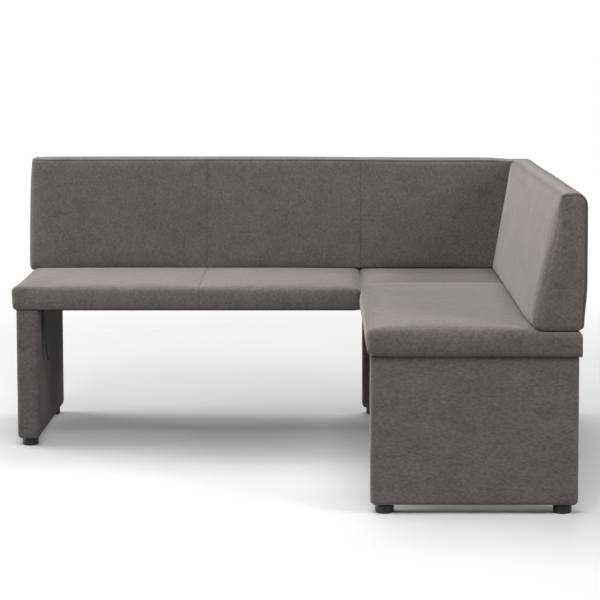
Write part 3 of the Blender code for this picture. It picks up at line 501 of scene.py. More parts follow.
# Backrests: wedges that are thicker at the foot, and their hollow for the frame
BACK_FOOT, FOOT_THICKNESS, TOP_THICKNESS = 0.4930, 0.130, 0.069
BACK_WALL, BACK_FOOT_WALL, BACK_TOP_WALL, BACK_FOAM = 20 * MM, 12 * MM, 22 * MM, 30 * MM
TOP_SEAM = 0.8550
RIGHT_BACK_START, RIGHT_PAD_START = -0.697, -0.699
RIGHT_BACK_END = BACK - FOOT_THICKNESS - 0.5 * MM
OUTER_ROLL, OUTER_ROLL_HEIGHT = 30 * MM, 38 * MM

# Panel legs
LEG_THICKNESS, LEG_WIDTH, LEG_HEIGHT, LEG_BOTTOM = 69 * MM, 553 * MM, 400.2 * MM, 24.5 * MM
LEG_ROLL, LEG_FOOT_ROLL, LEG_WALL = 12 * MM, 16 * MM, 8 * MM
LEG_PRESSURE, LEG_CAP = 0.2, 2.4 * MM


def seat_cover(name, node, low, high, radii, lines, pressed, sunk, butted, seam, free_high,
               lean=0.0, bulge=lambda p: 0.0, turned=lambda p: 0.0):
    """A seat's cover: crowned, drawn in below, pressed where a backrest stands on it.

    radii(point) gives the radii of its edges, lines extra cuts along X, Y and Z. pressed, sunk
    and bulge tell for a point how far a backrest presses it, how much lower its top lies and how
    far its left side swells, and the last argument the painted shade on it. butted(point) holds
    where the left side touches the other seat. seam is its axis, place, depth and darkness. lean
    is how far the left side slopes in below, in place of the tuck. With free_high the right side
    is free and sags.
    """
    low, high = Vector(low), Vector(high)
    seam_axis, seam_place, seam_depth, seam_darkness = seam
    kept = [edge_cuts(low[i], high[i]) + list(lines[i]) for i in range(3)]
    kept[seam_axis] += [seam_place + cut for cut in SEAM_CUTS]
    shape = block(low, high, kept)
    for vertex in shape.verts:
        place = vertex.co.copy()
        near, far = radii(place)
        soft = rounded(place, low, high, near, far)
        rise = (place.z - low.z) / (high.z - low.z)
        tuck = SEAT_TUCK * (1 - rise) ** 3
        if not butted(place):
            side = 1 - ease(place.x, low.x, low.x + TUCK_REACH)
            soft.x += (lean * (1 - rise) if lean else tuck) * side
        soft.x -= bulge(place)
        soft.y += tuck * (1 - ease(place.y, low.y, low.y + TUCK_REACH))
        if rise > 0.5:
            soft.z -= (high.z - SEAT_PRESSED) * pressed(place)
        soft.z -= sunk(place) * ease(rise, 0.3, 0.9)
        if free_high:
            soft.z -= SAG * ease(place.x, high.x - 9 * MM, high.x) * (1 - ease(rise, 0.05, 0.3))
        vertex.co = soft
    cover = piece(name, shape, COVER)

    def hold(p):
        if p.z < low.z + FIRM or pressed(p) > 0.6 or p.y > high.y - 2 * MM:
            return 1.0
        if p.x > high.x - 2 * MM and not free_high:
            return SIDE_HOLD
        if p.x < low.x + 2 * MM and butted(p):
            return SIDE_HOLD
        if abs(p[seam_axis] - seam_place) < FIRM:
            return SEAT_SEAM_HOLD
        return 0.0

    puff(cover, hold, PAD_PRESSURE, PAD_CAP)

    def distance(p):
        if pressed(p) > 0.5 or p.z < low.z + 3 * MM or butted(p) and p.x < low.x + 4 * MM:
            return None
        return abs(p[seam_axis] - seam_place)

    sew(cover, [(distance, seam_depth, seam_darkness)], turned)
    refine(cover)
    hollow(cover, 2, low.z, [a + CLOTH_INSET for a in low[:2]],
           [a - CLOTH_INSET for a in high[:2]], lambda p: low.z + CLOTH_DEPTH)
    hollow(cover, 2, low.z + CLOTH_DEPTH, [a + SEAT_WALL for a in low[:2]],
           [a - SEAT_WALL for a in high[:2]], lambda p: FRAME_TOP)
    dress(cover, node)


def under_long_back(p):
    """How far a point on a seat is under the long backrest."""
    return ease(p.y, BACK - FOOT_THICKNESS - 2 * MM, BACK - FOOT_THICKNESS + 20 * MM)


def under_right_back(p):
    """The same under the right backrest."""
    foot = RIGHT - FOOT_THICKNESS - belly(p.y, BACK_FOOT)
    return ease(p.x, foot - 2 * MM, foot + 20 * MM)


def upper_part(p):
    """How far a point on a seat's side is in the upper part."""
    return ease(p.z, SEAT_HEIGHTS[0], SEAT_HEIGHTS[-1])


def long_seat_cover():
    """The long seat's cover: straight, with one seam across, its front edge a little lower."""
    low, high = (-0.8185, 0.127, SEAT_UNDERSIDE), (0.2560, 0.702, SEAT_TOP)
    foot = BACK - FOOT_THICKNESS

    def radii(p):
        under = under_long_back(p)
        upper = upper_part(p)
        near = Vector((blend(12, 20, upper), 14, 12))
        right = blend(blend(3, 14, upper), 4, under)
        return near * MM, Vector((right, 3, blend(17, 4, under))) * MM

    def sunk(p):
        full = ease(p.y, 0.30, 0.55) * (1 - ease(p.x, 0.05, 0.25)) * (1 - under_long_back(p))
        front = (1 - ease(p.y, 0.15, 0.42)) * ease(p.x, low[0], low[0] + 0.12)
        return 5 * MM * front - 1.0 * MM * full

    seat_cover("long_seat_cover", "long_seat_pad", low, high, radii,
               ((), [foot + cut for cut in PRESS_CUTS], SEAT_HEIGHTS),
               under_long_back, sunk, lambda p: False,
               seam=(0, LONG_SEAT_SEAM, 0.9 * MM, 0.6), free_high=False, lean=3 * MM)


def short_seat_cover():
    """The short seat's cover, which starts behind the long seat's right end.

    Its cross seam has no groove. Behind it the colour is darkened with painted shade, for the
    shade in the corner between the backrests.
    """
    low, high = (0.2565, -0.703, SEAT_UNDERSIDE), (0.8285, 0.702, SEAT_TOP)
    foot_x, foot_y = RIGHT - FOOT_THICKNESS - 18 * MM, BACK - FOOT_THICKNESS

    def radii(p):
        behind, beside = under_long_back(p), under_right_back(p)
        under = max(behind, beside)
        butted = ease(p.y, 0.07, 0.124)
        upper = upper_part(p)
        left = (1 - ease(p.x, low[0], low[0] + 0.08)) * (1 - butted)
        free = blend(14, 28, upper)
        front = blend(12, blend(22, 14, beside), upper)
        near = Vector((blend(free, blend(16, 4, under), butted), front,
                       blend(blend(9, 18, left), 6, ease(p.x, 0.70, 0.80))))
        far = Vector((blend(6, 16, upper), 3, blend(blend(20, 16, beside), 4, behind)))
        return near * MM, far * MM

    def sunk(p):
        front = (1 - ease(p.y, low[1] + 0.02, low[1] + 0.28)) * (1 - ease(p.x, 0.65, 0.73))
        behind = ease(p.y, SHORT_SEAT_SEAM - 4 * MM, SHORT_SEAT_SEAM + 22 * MM)
        return (1.2 * behind - 2.5 * front) * MM

    def bulge(p):
        level = max(0.0, 1 - ((p.z - BULGE_HEIGHT) / BULGE_REACH) ** 2)
        side = 1 - ease(p.x, low[0], low[0] + 0.05)
        return BULGE * level * side * ease(p.y, -0.45, 0.05) * (1 - ease(p.y, 0.104, 0.122))

    # Painted shade on the rear part, behind the cross seam and towards the corner
    def turned(p):
        behind = ease(p.y, SHORT_SEAT_SEAM - 4 * MM, SHORT_SEAT_SEAM + 6 * MM)
        return behind * ease(p.x, 0.28, 0.46)

    across = [foot_y + cut for cut in PRESS_CUTS] + [0.070, 0.085, 0.100, 0.112,
                                                     SHORT_SEAT_BUTTED, 0.124]
    seat_cover("short_seat_cover", "short_seat_pad", low, high, radii,
               ([foot_x + cut for cut in PRESS_CUTS], across, SEAT_HEIGHTS),
               lambda p: max(under_long_back(p), under_right_back(p)), sunk,
               lambda p: p.y > SHORT_SEAT_BUTTED, seam=(1, SHORT_SEAT_SEAM, 0.0, 0.0),
               free_high=True, bulge=bulge, turned=turned)


def thickness(z):
    """How thick a backrest is at a height."""
    rise = (z - BACK_FOOT) / (TOP - BACK_FOOT)
    return FOOT_THICKNESS + (TOP_THICKNESS - FOOT_THICKNESS) * rise


def back_cover(name, along, start, end, radii, seams, crown_end, shift, fine_top=False):
    """A wedge-shaped backrest cover whose rear stays flat. It runs along X or Y.

    radii(point) gives the radii of its rounded edges, and shift(point) moves a point of the
    finished wedge. seams are the places of its upright seams, and it swells up to crown_end.
    With fine_top its top has closer cuts. Returns the cover, a function that tells how far a
    point lies behind the sloping front, and the plane of its rear.
    """
    across = 1 - along
    rear = BACK if across == 1 else RIGHT
    low, high = Vector((0, 0, BACK_FOOT)), Vector((0, 0, TOP))
    low[along], high[along] = start, end
    low[across], high[across] = rear - FOOT_THICKNESS, rear
    kept = [edge_cuts(low[i], high[i]) for i in range(3)]
    kept[across] += [low[across] + cut * MM for cut in (36, 44, 55)]
    kept[across] += [rear - 44 * MM, rear - 36 * MM]
    kept[2] += [TOP_SEAM + cut for cut in SEAM_CUTS[1:-2]] + [TOP - 36 * MM, TOP - 44 * MM]
    for place in seams:
        kept[along] += [place + cut for cut in SEAM_CUTS]
    if fine_top:
        kept[across] += [rear - step * MM for step in range(7, 42, 3)]
        kept[2] += [TOP - step * MM for step in range(4, 42, 3)]
    if crown_end < end:
        kept[along].append(crown_end)
    shape = block(low, high, kept)
    for vertex in shape.verts:
        near, far = radii(vertex.co)
        squeeze = thickness(vertex.co.z) / FOOT_THICKNESS
        near[across] /= squeeze
        far[across] /= squeeze
        soft = rounded(vertex.co, low, high, near, far)
        soft[across] = rear - (rear - soft[across]) * thickness(soft.z) / FOOT_THICKNESS
        vertex.co = soft + shift(soft)
    cover = piece(name, shape, COVER)

    def front(p):
        return p[across] - (rear - thickness(p.z))

    def hold(p):
        if p[across] > rear - FIRM or p.z < BACK_FOOT + FIRM or p[along] > crown_end:
            return 1.0
        if any(abs(p[along] - place) < FIRM for place in seams) and front(p) < 5 * MM:
            return BACK_SEAM_HOLD
        if seams and abs(p.z - TOP_SEAM) < FIRM and front(p) < 20 * MM:
            return BACK_SEAM_HOLD
        return 0.0

    puff(cover, hold, PAD_PRESSURE, PAD_CAP)
    return cover, front, rear


def finish_back(cover, node, along, start, end, rear, sewn, turned=lambda p: 0.0):
    """Sew a backrest's cover and open its rear for the frame between start and end."""
    sew(cover, sewn, turned)
    refine(cover)
    low = [start + BACK_WALL, BACK_FOOT + BACK_FOOT_WALL]
    high = [end - BACK_WALL, TOP - BACK_TOP_WALL]
    hollow(cover, 1 - along, rear, low, high, lambda p: rear - thickness(p.z) + BACK_FOAM,
           6 * MM)
    dress(cover, node)


def droop(p):
    """How far the long backrest's top edge hangs towards the corner."""
    return 4.5 * MM * ease(p.x, -0.15, 0.50) + 4.5 * MM * ease(p.x, 0.69, 0.76)


def long_back_cover():
    """The long backrest's cover: two upright seams, one along the top, painted shade down the
    left.
    """
    seams = (-0.245, 0.262)
    crown_end = RIGHT - FOOT_THICKNESS - 8 * MM
    left_end = -RIGHT + 7 * MM

    def radii(p):
        low_left = (1 - ease(p.x, left_end, left_end + 0.06)) * (1 - ease(p.z, 0.50, 0.56))
        high_right = ease(p.x, RIGHT - 0.06, RIGHT - 0.03) * ease(p.z, TOP - 0.09, TOP - 0.05)
        high_left = 1 - ease(p.x, left_end + 0.02, left_end + 0.07)
        front = blend(26, 44, ease(p.z, TOP - 0.06, TOP - 0.03))
        near = Vector((blend(16, 20, low_left), front, blend(10, 30, low_left)))
        top = blend(blend(5, 15, high_left), 38, high_right)
        return near * MM, Vector((blend(10, 30, high_right), 8, top)) * MM

    def shift(p):
        beyond = 1 - ease(p.x, -RIGHT + 6 * MM, -RIGHT + 30 * MM)
        fall = 10 * MM * beyond * (1 - ease(p.z, 0.50, 0.54))
        return Vector((0, 0, -fall - droop(p) * ease(p.z, 0.60, 0.80)))

    cover, front, rear = back_cover("long_back_cover", 0, left_end, RIGHT, radii, seams,
                                    crown_end, shift)

    def upright(place):
        def distance(p):
            if front(p) > 16 * MM or p.z > TOP_SEAM + 1 * MM or p.z < BACK_FOOT + 4 * MM:
                return None
            return abs(p.x - place)
        return distance

    def along_top(p):
        if p.y > BACK - 0.035 or p.x > crown_end + 0.02:
            return None
        return abs(p.z + droop(p) - TOP_SEAM + 1.5 * MM) / 1.6

    # Painted shade: a dark line down the left end of the front, with a shallow groove like a seam
    def left_shade_line(p):
        if front(p) > 20 * MM or p.z > TOP_SEAM - 4 * MM:
            return None
        return abs(p.x - left_end - 2.4 * MM)

    finish_back(cover, "long_back_pad", 0, -RIGHT, RIGHT, rear,
                [(upright(place), 0.9 * MM, 0.42) for place in seams]
                + [(along_top, 2.0 * MM, 0.95), (left_shade_line, 0.4 * MM, 0.6)])


def belly(y, z):
    """How far the right backrest swells over the seat."""
    rise = min(1.0, max(0.0, (z - BACK_FOOT) / (TOP - BACK_FOOT)))
    corner = (1 - ease(z, BACK_FOOT, BACK_FOOT + 0.035)) * (1 - ease(y, -0.80, -0.28))
    front = (3 + 21 * (1 - rise) ** 2 - 14 * corner) * MM
    return blend(front, (18 - 7 * rise) * MM, ease(y, -0.72, -0.20))


def tapered(p):
    """How the right backrest narrows at the foot of its front end and hangs at its rear."""
    head = 1 - ease(p.y, RIGHT_BACK_START + 0.01, RIGHT_BACK_START + 0.14)
    outer = ease(p.x, RIGHT - 0.050, RIGHT - 0.010)
    lower = 1 - ease(p.z, BACK_FOOT, BACK_FOOT + 0.127)
    fall = 3 * MM * ease(p.y, -0.25, 0.50) * ease(p.z, 0.60, 0.80)
    return Vector((-8 * MM * lower * head * outer, 0, -fall))


def right_back_cover():
    """The right backrest's cover: full towards the seat, with a sewn panel at its front end."""
    start, end = RIGHT_BACK_START, RIGHT_BACK_END

    def radii(p):
        lower = 1 - ease(p.z, 0.50, 0.56)
        upper = ease(p.z, TOP - 0.055, TOP - 0.012)
        outer = ease(p.x, RIGHT - 0.085, RIGHT - 0.045)
        inner = 1 - ease(p.x, RIGHT - 0.120, RIGHT - 0.080)
        head = 1 - ease(p.y, start + 0.02, start + 0.12)
        rear_head = ease(p.y, end - 0.10, end - 0.03)
        side = blend(blend(34, 22, lower), 12, upper)
        side = blend(side, 26, rear_head * ease(p.z, TOP - 0.06, TOP - 0.04))
        front = blend(blend(26, 10, upper), 10, lower)
        near = Vector((side, front, blend(12, blend(12, 20, inner), head)))
        inner_roll = blend(12, 26, rear_head * inner)
        far = Vector((OUTER_ROLL / MM, 18, blend(inner_roll, OUTER_ROLL_HEIGHT / MM, outer)))
        return near * MM, far * MM

    def shift(p):
        lean = FOOT_THICKNESS - thickness(p.z)
        inward = min(1.0, (RIGHT - p.x) / thickness(p.z)) * belly(p.y, p.z)
        back = lean * ease(p.y, end - 0.12, end - 0.02)
        return tapered(p) + Vector((-inward, back, 0))

    cover, front, rear = back_cover("right_back_cover", 1, start, end, radii, (), end - 2 * MM,
                                    shift, fine_top=True)

    def outline(p):
        """How far a point of the front end is inside its sewn panel's outline."""
        corner = blend(6 * MM, 26 * MM, ease(p.x, RIGHT - 0.05, RIGHT - 0.03))
        left = rear - thickness(p.z) - belly(p.y, p.z) + 7 * MM
        right = rear - 6 * MM + tapered(p).x
        dx = abs(p.x - (left + right) / 2) - (right - left) / 2 + corner
        dz = p.z - (TOP - 7 * MM) + corner
        if dx > 0 and dz > 0:
            return corner - math.hypot(dx, dz)
        return corner - max(dx, dz)

    def end_seam(outer):
        """The seam round the end panel: over its top and outer side, or down its inner side."""
        def distance(p):
            if p.y > start + 24 * MM or p.z < (BACK_FOOT + 4 * MM if outer else 0.62):
                return None
            inner_side = p.x < rear - thickness(p.z) / 2 and p.z < TOP - 0.018
            return abs(outline(p)) / 1.7 if inner_side != outer else None
        return distance

    # Painted light: the upper part of the inner side is made paler
    def turned(p):
        inner_side = 1 - ease(p.x - RIGHT + thickness(p.z), 6 * MM, 16 * MM)
        return -0.32 * ease(p.z, 0.62, 0.79) * inner_side

    finish_back(cover, "right_back_pad", 1, RIGHT_PAD_START, end, rear,
                [(end_seam(True), 1.0 * MM, 0.85), (end_seam(False), 0.4 * MM, 0.25)], turned)


def leg_cover(name, x, y, along):
    """A panel leg's cover, open at the top where its chipboard core goes in.

    The left leg, along Y, gets a shaded copy of the cloth and painted shade.
    """
    in_shade = along == 1
    size = Vector((LEG_THICKNESS, LEG_THICKNESS, LEG_HEIGHT))
    size[along] = LEG_WIDTH
    low = Vector((x, y, LEG_BOTTOM))
    high = low + size
    near, far = Vector((LEG_ROLL, LEG_ROLL, LEG_FOOT_ROLL)), Vector((LEG_ROLL, LEG_ROLL, 0))
    shape = block(low, high, [edge_cuts(low[i], high[i]) for i in range(3)])
    for vertex in shape.verts:
        vertex.co = rounded(vertex.co, low, high, near, far)
    cover = piece(name, shape, SHADED_LEG_COVER if in_shade else LEG_COVER)

    def hold(p):
        return 1.0 if min(p.z - low.z, high.z - p.z) < FIRM else 0.0

    # Painted shade over the left leg, darkest on its inner side under the seat
    def turned(p):
        return blend(0.28, 0.66, ease(p.x, low.x + 0.050, low.x + 0.066)) if in_shade else 0.0

    puff(cover, hold, LEG_PRESSURE, LEG_CAP)
    sew(cover, [], turned)
    refine(cover)
    hollow(cover, 2, high.z, [a + LEG_WALL for a in low[:2]], [a - LEG_WALL for a in high[:2]],
           lambda p: low.z + LEG_WALL)
    dress(cover, name.replace("padding", "cover"))


# Linings, fasteners and glides

LINING_END_GAP, LINING_EDGE_GAP, LINING_THICKNESS = 0.5 * MM, 0.3 * MM, 0.6 * MM
BRACKET_LEG, BRACKET_STEEL = 45 * MM, 3 * MM
BRACKET_HOLE_SHARE, BRACKET_HOLE_OFFSET = 0.62, 8.5 * MM
# How far round the heads of a bracket's screws are rotated, in radians
SIDE_TURN, TOP_TURN = 7.65, 5.95
# In millimetres from the plate's middle
CONNECTOR_HOLE_X, CONNECTOR_HOLE_Y = 48, 14
STAPLE_PITCH = 55 * MM


def roll_off(z):
    """How far the rolled outer top edge lies inside the rear plane at a height."""
    rise = min(1.0, max(0.0, (z - TOP + OUTER_ROLL_HEIGHT) / OUTER_ROLL_HEIGHT))
    return OUTER_ROLL * (1 - math.sqrt(1 - rise * rise))


def finished(obj, slot, *nodes):
    """Let a piece ride on the bench and hide the nodes that it stands for. Its material slot is
    not used.
    """
    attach(obj, "root")
    if nodes:
        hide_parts(*nodes)
    return obj


def side_inset(p):
    """How far the right backrest's outer side lies inside its plane, with the taper."""
    return tapered(p) - Vector((roll_off(p.z), 0, 0))


def trimmed(name, node):
    """A wooden frame piece of the right backrest, cut back to stay inside the tapered cover."""
    shape = bmesh.new()
    shape.from_mesh(NODES[node].data)
    bmesh.ops.remove_doubles(shape, verts=shape.verts, dist=1e-5)
    for vertex in shape.verts:
        vertex.co += tapered(vertex.co)
        vertex.co.x = min(vertex.co.x, RIGHT - roll_off(vertex.co.z) - 1.5 * MM)
    finished(piece(name, shape, PINES[1 if "rail" in node else 2], False), "pine", node)


def lining(name, node, along, start, end, inset=lambda p: Vector((0, 0, 0))):
    """The cloth over the open rear of a backrest, whose pad runs from start to end.

    inset(point) tells how a point of it moves from the plane of the rear.
    """
    across = 1 - along
    rear = BACK if across == 1 else RIGHT
    start, end = start + BACK_WALL + LINING_END_GAP, end - BACK_WALL - LINING_END_GAP
    low = BACK_FOOT + BACK_FOOT_WALL + LINING_EDGE_GAP
    high = TOP - BACK_TOP_WALL - LINING_EDGE_GAP
    shape = bmesh.new()
    bmesh.ops.create_grid(shape, x_segments=80, y_segments=20, size=0.5)
    for vertex in shape.verts:
        place = Vector((0, 0, blend(low, high, vertex.co.y + 0.5)))
        place[along] = blend(start, end, vertex.co.x + 0.5)
        place[across] = rear
        place += inset(place)
        vertex.co = place
    bmesh.ops.recalc_face_normals(shape, faces=shape.faces)
    bmesh.ops.solidify(shape, geom=shape.faces[:], thickness=LINING_THICKNESS)
    for vertex in shape.verts:
        vertex.co[across] = min(vertex.co[across], rear)
    cloth = finished(piece(name, shape, LINING), "rear_cloth", node)


def scattered(name, prototype, places, finish, slot):
    """Many copies of a small shape in one piece. places are matrices."""
    shape = bmesh.new()
    for place in places:
        first = len(shape.verts)
        shape.from_mesh(prototype)
        shape.verts.ensure_lookup_table()
        bmesh.ops.transform(shape, matrix=place, verts=shape.verts[first:])
    bpy.data.meshes.remove(prototype)
    return finished(piece(name, shape, finish, False), slot)


def facing(place, normal, turn=0.0):
    """A matrix that puts a small shape at a place, its +Z along the normal."""
    way = Vector(normal).to_track_quat("Z", "Y").to_matrix().to_4x4()
    return Matrix.Translation(place) @ way @ Matrix.Rotation(turn, 4, "Z")


def staple():
    """A wire staple's crown with bent shoulders."""
    shape = bmesh.new()
    bmesh.ops.create_cube(shape, size=1.0)
    bmesh.ops.scale(shape, vec=(10 * MM, 0.9 * MM, 0.9 * MM), verts=shape.verts)
    shoulders = [e for e in shape.edges if all(v.co.z > 0 for v in e.verts)
                 and e.verts[0].co.x * e.verts[1].co.x > 0
                 and abs(e.verts[0].co.x - e.verts[1].co.x) < 1e-6]
    bmesh.ops.bevel(shape, geom=shoulders, offset=0.6 * MM, affect="EDGES", segments=2,
                    profile=0.5, material=-1)
    mesh = bpy.data.meshes.new("staple")
    shape.to_mesh(mesh)
    shape.free()
    return mesh


def turned_shape(profile, steps):
    """A shape spun round Z from its profile's radii and heights in millimetres."""
    shape = bmesh.new()
    rim = [shape.verts.new((radius * MM, 0, height * MM)) for radius, height in profile]
    edges = [shape.edges.new(pair) for pair in zip(rim[:-1], rim[1:])]
    bmesh.ops.spin(shape, geom=rim + edges, cent=(0, 0, 0), axis=(0, 0, 1),
                   angle=2 * math.pi, steps=steps, use_merge=True)
    bmesh.ops.remove_doubles(shape, verts=shape.verts, dist=1e-6)
    return shape


def screw_head():
    """A button-head screw with a round socket."""
    shape = turned_shape(((0.0, -0.5), (4.4, -0.5), (4.4, 0.5), (3.9, 1.5), (2.6, 2.2),
                          (1.6, 2.3)), 12)
    socket = [e for e in shape.edges if e.is_boundary]
    made = bmesh.ops.extrude_edge_only(shape, edges=socket)["geom"]
    bmesh.ops.translate(shape, vec=(0, 0, -1.4 * MM),
                        verts=[e for e in made if isinstance(e, bmesh.types.BMVert)])
    bottom = [e for e in made if isinstance(e, bmesh.types.BMEdge) and e.is_boundary]
    bmesh.ops.contextual_create(shape, geom=bottom)
    bmesh.ops.recalc_face_normals(shape, faces=shape.faces)
    mesh = bpy.data.meshes.new("screw head")
    shape.to_mesh(mesh)
    shape.free()
    return mesh


def bracket_screws(node):
    """Two screws through each leg of an angle bracket, as matrices."""
    low, high = [Vector(corner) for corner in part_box(node)]
    middle = (low + high) / 2
    out = 0 if node.startswith("left") else 1
    side = -1 if node.startswith("rear") else 1
    wall = low[out] if side > 0 else high[out]
    reach = BRACKET_LEG * BRACKET_HOLE_SHARE
    screws = []
    for way in (-1, 1):
        offset = way * BRACKET_HOLE_OFFSET
        place, normal = middle.copy(), Vector((0, 0, 0))
        place[1 - out] += offset
        place[out], place.z = wall + side * BRACKET_STEEL, high.z - reach
        normal[out] = side
        screws.append(facing(place, normal, way * SIDE_TURN))
        place = middle.copy()
        place[1 - out] += offset
        place[out], place.z = wall + side * reach, high.z - BRACKET_STEEL
        screws.append(facing(place, (0, 0, -1), way * TOP_TURN))
    return screws


def connector_screws(node):
    """Four screws up through a connector plate, each head rotated its own way, as matrices."""
    low, high = [Vector(corner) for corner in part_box(node)]
    middle = (low + high) / 2
    return [facing(Vector((middle.x + dx * MM, middle.y + dy * MM, low.z)), (0, 0, -1), dx + dy)
            for dx in (-CONNECTOR_HOLE_X, CONNECTOR_HOLE_X)
            for dy in (-CONNECTOR_HOLE_Y, CONNECTOR_HOLE_Y)]


def mounting_screws():
    """Screws in the brackets and connector plates."""
    screws = []
    for node in NODES:
        if "seat_connector" in node:
            screws += connector_screws(node)
        elif "_bracket_" in node:
            screws += bracket_screws(node)
    scattered("mounting_screws", screw_head(), screws, ZINC, "zinc_steel")


def cloth_staples():
    """Staples round the rear linings and the dust cloths, each rotated a little its own way."""
    staples = []

    def row(first, last, normal, angle, inset=lambda p: Vector((0, 0, 0))):
        first, last = Vector(first), Vector(last)
        count = round((last - first).length / STAPLE_PITCH)
        for i in range(count):
            place = first.lerp(last, (i + 0.5) / count)
            wobble = 0.16 * math.sin(7.3 * len(staples))
            staples.append(facing(place + inset(place), normal, angle + wobble))

    low_z, high_z = BACK_FOOT + 18 * MM, TOP - 28 * MM
    for x in (-RIGHT + 26 * MM, RIGHT - 26 * MM):
        row((x, BACK, low_z), (x, BACK, high_z), (0, 1, 0), math.pi / 2)
    for z in (low_z, high_z):
        row((-RIGHT + 30 * MM, BACK, z), (RIGHT - 30 * MM, BACK, z), (0, 1, 0), 0)
    ends = (RIGHT_BACK_START + 24 * MM, RIGHT_BACK_END - 26 * MM)
    for y in ends:
        row((RIGHT, y, low_z), (RIGHT, y, high_z), (1, 0, 0), math.pi / 2, side_inset)
    for z in (low_z, high_z):
        row((RIGHT, ends[0], z), (RIGHT, ends[1], z), (1, 0, 0), 0, side_inset)
    edge = 6 * MM
    for node in ("long_seat_dust_cloth", "short_seat_dust_cloth"):
        low, high = [Vector(corner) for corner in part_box(node)]
        left, right, front, rear = low.x + edge, high.x - edge, low.y + edge, high.y - edge
        for y in (front, rear):
            row((left, y, low.z), (right, y, low.z), (0, 0, -1), 0)
        for x in (left, right):
            row((x, front, low.z), (x, rear, low.z), (0, 0, -1), math.pi / 2)
    scattered("cloth_staples", staple(), staples, ZINC, "zinc_steel")


def glide(node):
    """A glide: a drum with softened rims and a shallow groove, one solid with its stem."""
    low, high = [Vector(corner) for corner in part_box(node)]
    centre = (low + high) / 2
    profile = ((0, 58), (4, 58), (4, 24.2), (22.5, 24.2), (24.2, 23.6), (25, 22), (25, 19.2),
               (24.5, 18.8), (24.5, 18.0), (25, 17.6), (25, 5), (24.4, 2.6), (23, 1), (20.5, 0.2),
               (18, 0), (0, 0))
    shape = turned_shape(profile, 64)
    bmesh.ops.recalc_face_normals(shape, faces=shape.faces)
    bmesh.ops.translate(shape, vec=(centre.x, centre.y, 0), verts=shape.verts)
    name = node.replace("foot", "glide")
    made = finished(piece(name, shape, BLACK_PLASTIC), "black_plastic", node)
    made.data.set_sharp_from_angle(angle=math.radians(40))


long_seat_cover()
short_seat_cover()
long_back_cover()
right_back_cover()
for part in ("front_post", "bottom_rail", "top_rail"):
    trimmed(f"right_back_{part}_cut", f"right_back_{part}")
lining("long_back_lining", "long_back_rear_cloth", 0, -RIGHT, RIGHT)
lining("right_back_lining", "right_back_rear_cloth", 1, RIGHT_PAD_START, RIGHT_BACK_END,
       side_inset)
mounting_screws()
cloth_staples()
for node in list(NODES):
    if node.startswith("foot_"):
        glide(node)
for name, x, y, along in (("left_leg_padding", -0.805, 0.136, 1),
                          ("front_leg_padding", 0.268, -0.687, 0),
                          ("rear_leg_padding", 0.268, 0.619, 0)):
    leg_cover(name, x, y, along)


# The frame's own pieces, in their real finishes

for part in frame["record"]["subparts"]:
    slot, node = part["material_slot"], part["node"]
    if slot == "cover_fabric":
        continue
    low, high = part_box(node)
    longest = max(range(3), key=lambda i: high[i] - low[i])
    mesh = NODES[node].data
    mesh.materials.clear()
    mesh.materials.append(PINES[longest] if slot == "pine" else FINISHES[slot])


# Studio

# The floor's radius, where it fades into the surround, and the size of its faint patches
FLOOR_RADIUS, FADE_START, FADE_END, FLOOR_PATCH = 5.0, 1.0, 3.6, 0.3333
AMBIENT = 0.01
# Name, place, aim, size in metres and power in watts
LIGHTS = (
    ("wide softbox far on the left", (-7.5, 0.6, 2.2), (0.2, 0.0, 0.5), (3.4, 2.4), 285.0),
    ("low softbox on the left", (-4.4, 0.3, 1.0), (0.2, 0.0, 0.5), (2.0, 1.4), 40.0),
    ("softbox behind the left end", (-3.4, 1.4, 2.6), (0.2, 0.1, 0.5), (2.0, 2.0), 64.0),
    ("softbox above the back", (0.2, 1.8, 3.4), (0.2, 0.1, 0.4), (2.6, 1.6), 74.0),
    ("softbox overhead", (0.0, 0.2, 4.2), (0.0, 0.2, 0.0), (3.0, 2.6), 48.0),
    ("softbox above the front", (-0.4, -2.3, 3.3), (0.0, 0.0, 0.4), (2.6, 2.0), 103.0),
    ("softbox in front on the right", (3.6, -2.2, 2.6), (0.2, 0.0, 0.5), (2.0, 2.0), 97.0),
)


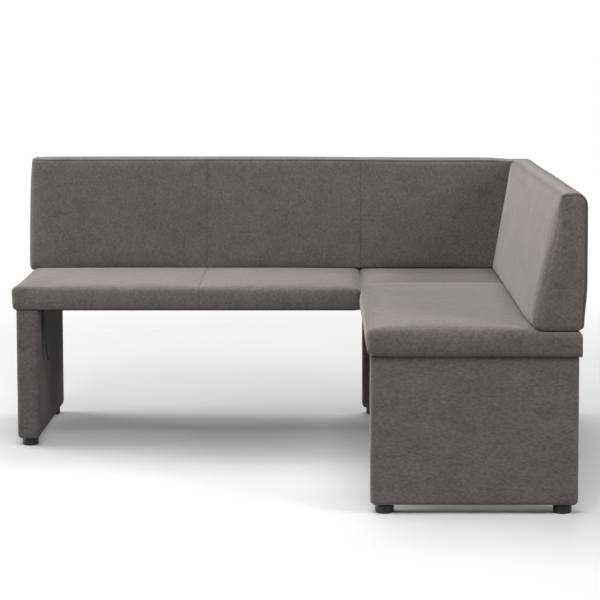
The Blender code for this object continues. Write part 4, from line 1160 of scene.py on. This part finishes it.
def studio():
    """A pale floor that fades into a white surround, and the soft lights round the bench."""
    shape = bmesh.new()
    bmesh.ops.create_circle(shape, cap_ends=True, segments=96, radius=FLOOR_RADIUS)
    floor_finish, tree, shader = material("matt white studio floor")
    place = add(tree, "TexCoord").outputs["Object"]
    grain = add(tree, "TexNoise", {"Vector": place, "Scale": 1 / FLOOR_PATCH}).outputs["Fac"]
    tone = add(tree, "Mix", {0: grain, 6: linear("#D0D0CF"), 7: linear("#D3D3D2")},
               data_type="RGBA").outputs[2]
    tree.links.new(tone, shader.inputs["Base Color"])
    distance = add(tree, "VectorMath", {0: place}, operation="LENGTH").outputs["Value"]
    fade = add(tree, "MapRange", {0: distance, 1: FADE_START, 2: FADE_END, 3: 1.0, 4: 0.0},
               interpolation_type="SMOOTHSTEP").outputs[0]
    tree.links.new(fade, shader.inputs["Alpha"])
    shader.inputs["Roughness"].default_value = 0.9
    shader.inputs["Specular IOR Level"].default_value = 0.1
    floor = piece("studio_floor", shape, floor_finish, False)
    floor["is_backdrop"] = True
    world = bpy.data.worlds.new("white surround")
    world.use_nodes = True
    tree = world.node_tree
    background = tree.nodes["Background"]
    seen = add(tree, "LightPath").outputs["Is Camera Ray"]
    strength = add(tree, "MapRange", {0: seen, 3: AMBIENT, 4: 1.0}).outputs[0]
    tree.links.new(strength, background.inputs["Strength"])
    background.inputs["Color"].default_value = (1, 1, 1, 1)
    bpy.context.scene.world = world
    for name, place, aim, size, power in LIGHTS:
        lamp = bpy.data.lights.new(name, "AREA")
        lamp.shape = "RECTANGLE"
        lamp.size, lamp.size_y = size
        lamp.energy = power
        holder = bpy.data.objects.new(name, lamp)
        holder.location = place
        holder.rotation_euler = (Vector(aim) - Vector(place)).to_track_quat("-Z", "Y").to_euler()
        bpy.context.scene.collection.objects.link(holder)


studio()
bpy.context.scene.view_settings.view_transform = "Standard"

eye = bpy.data.objects.new("photo camera", bpy.data.cameras.new("photo camera"))
eye.data.lens = 115.94
eye.data.sensor_width = 36.0
eye.data.shift_y = -0.2
eye.data.clip_end = 100.0
pan, tilt, roll = (math.radians(angle) for angle in (0.9275, 90 - 4.662, -0.1488))
turn = Matrix.Rotation(pan, 3, "Z") @ Matrix.Rotation(tilt, 3, "X") @ Matrix.Rotation(roll, 3, "Z")
eye.location = (0.1656, -5.7386, 1.3060)
eye.rotation_euler = turn.to_euler()
bpy.context.scene.collection.objects.link(eye)
bpy.context.scene.camera = eye

low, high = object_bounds()
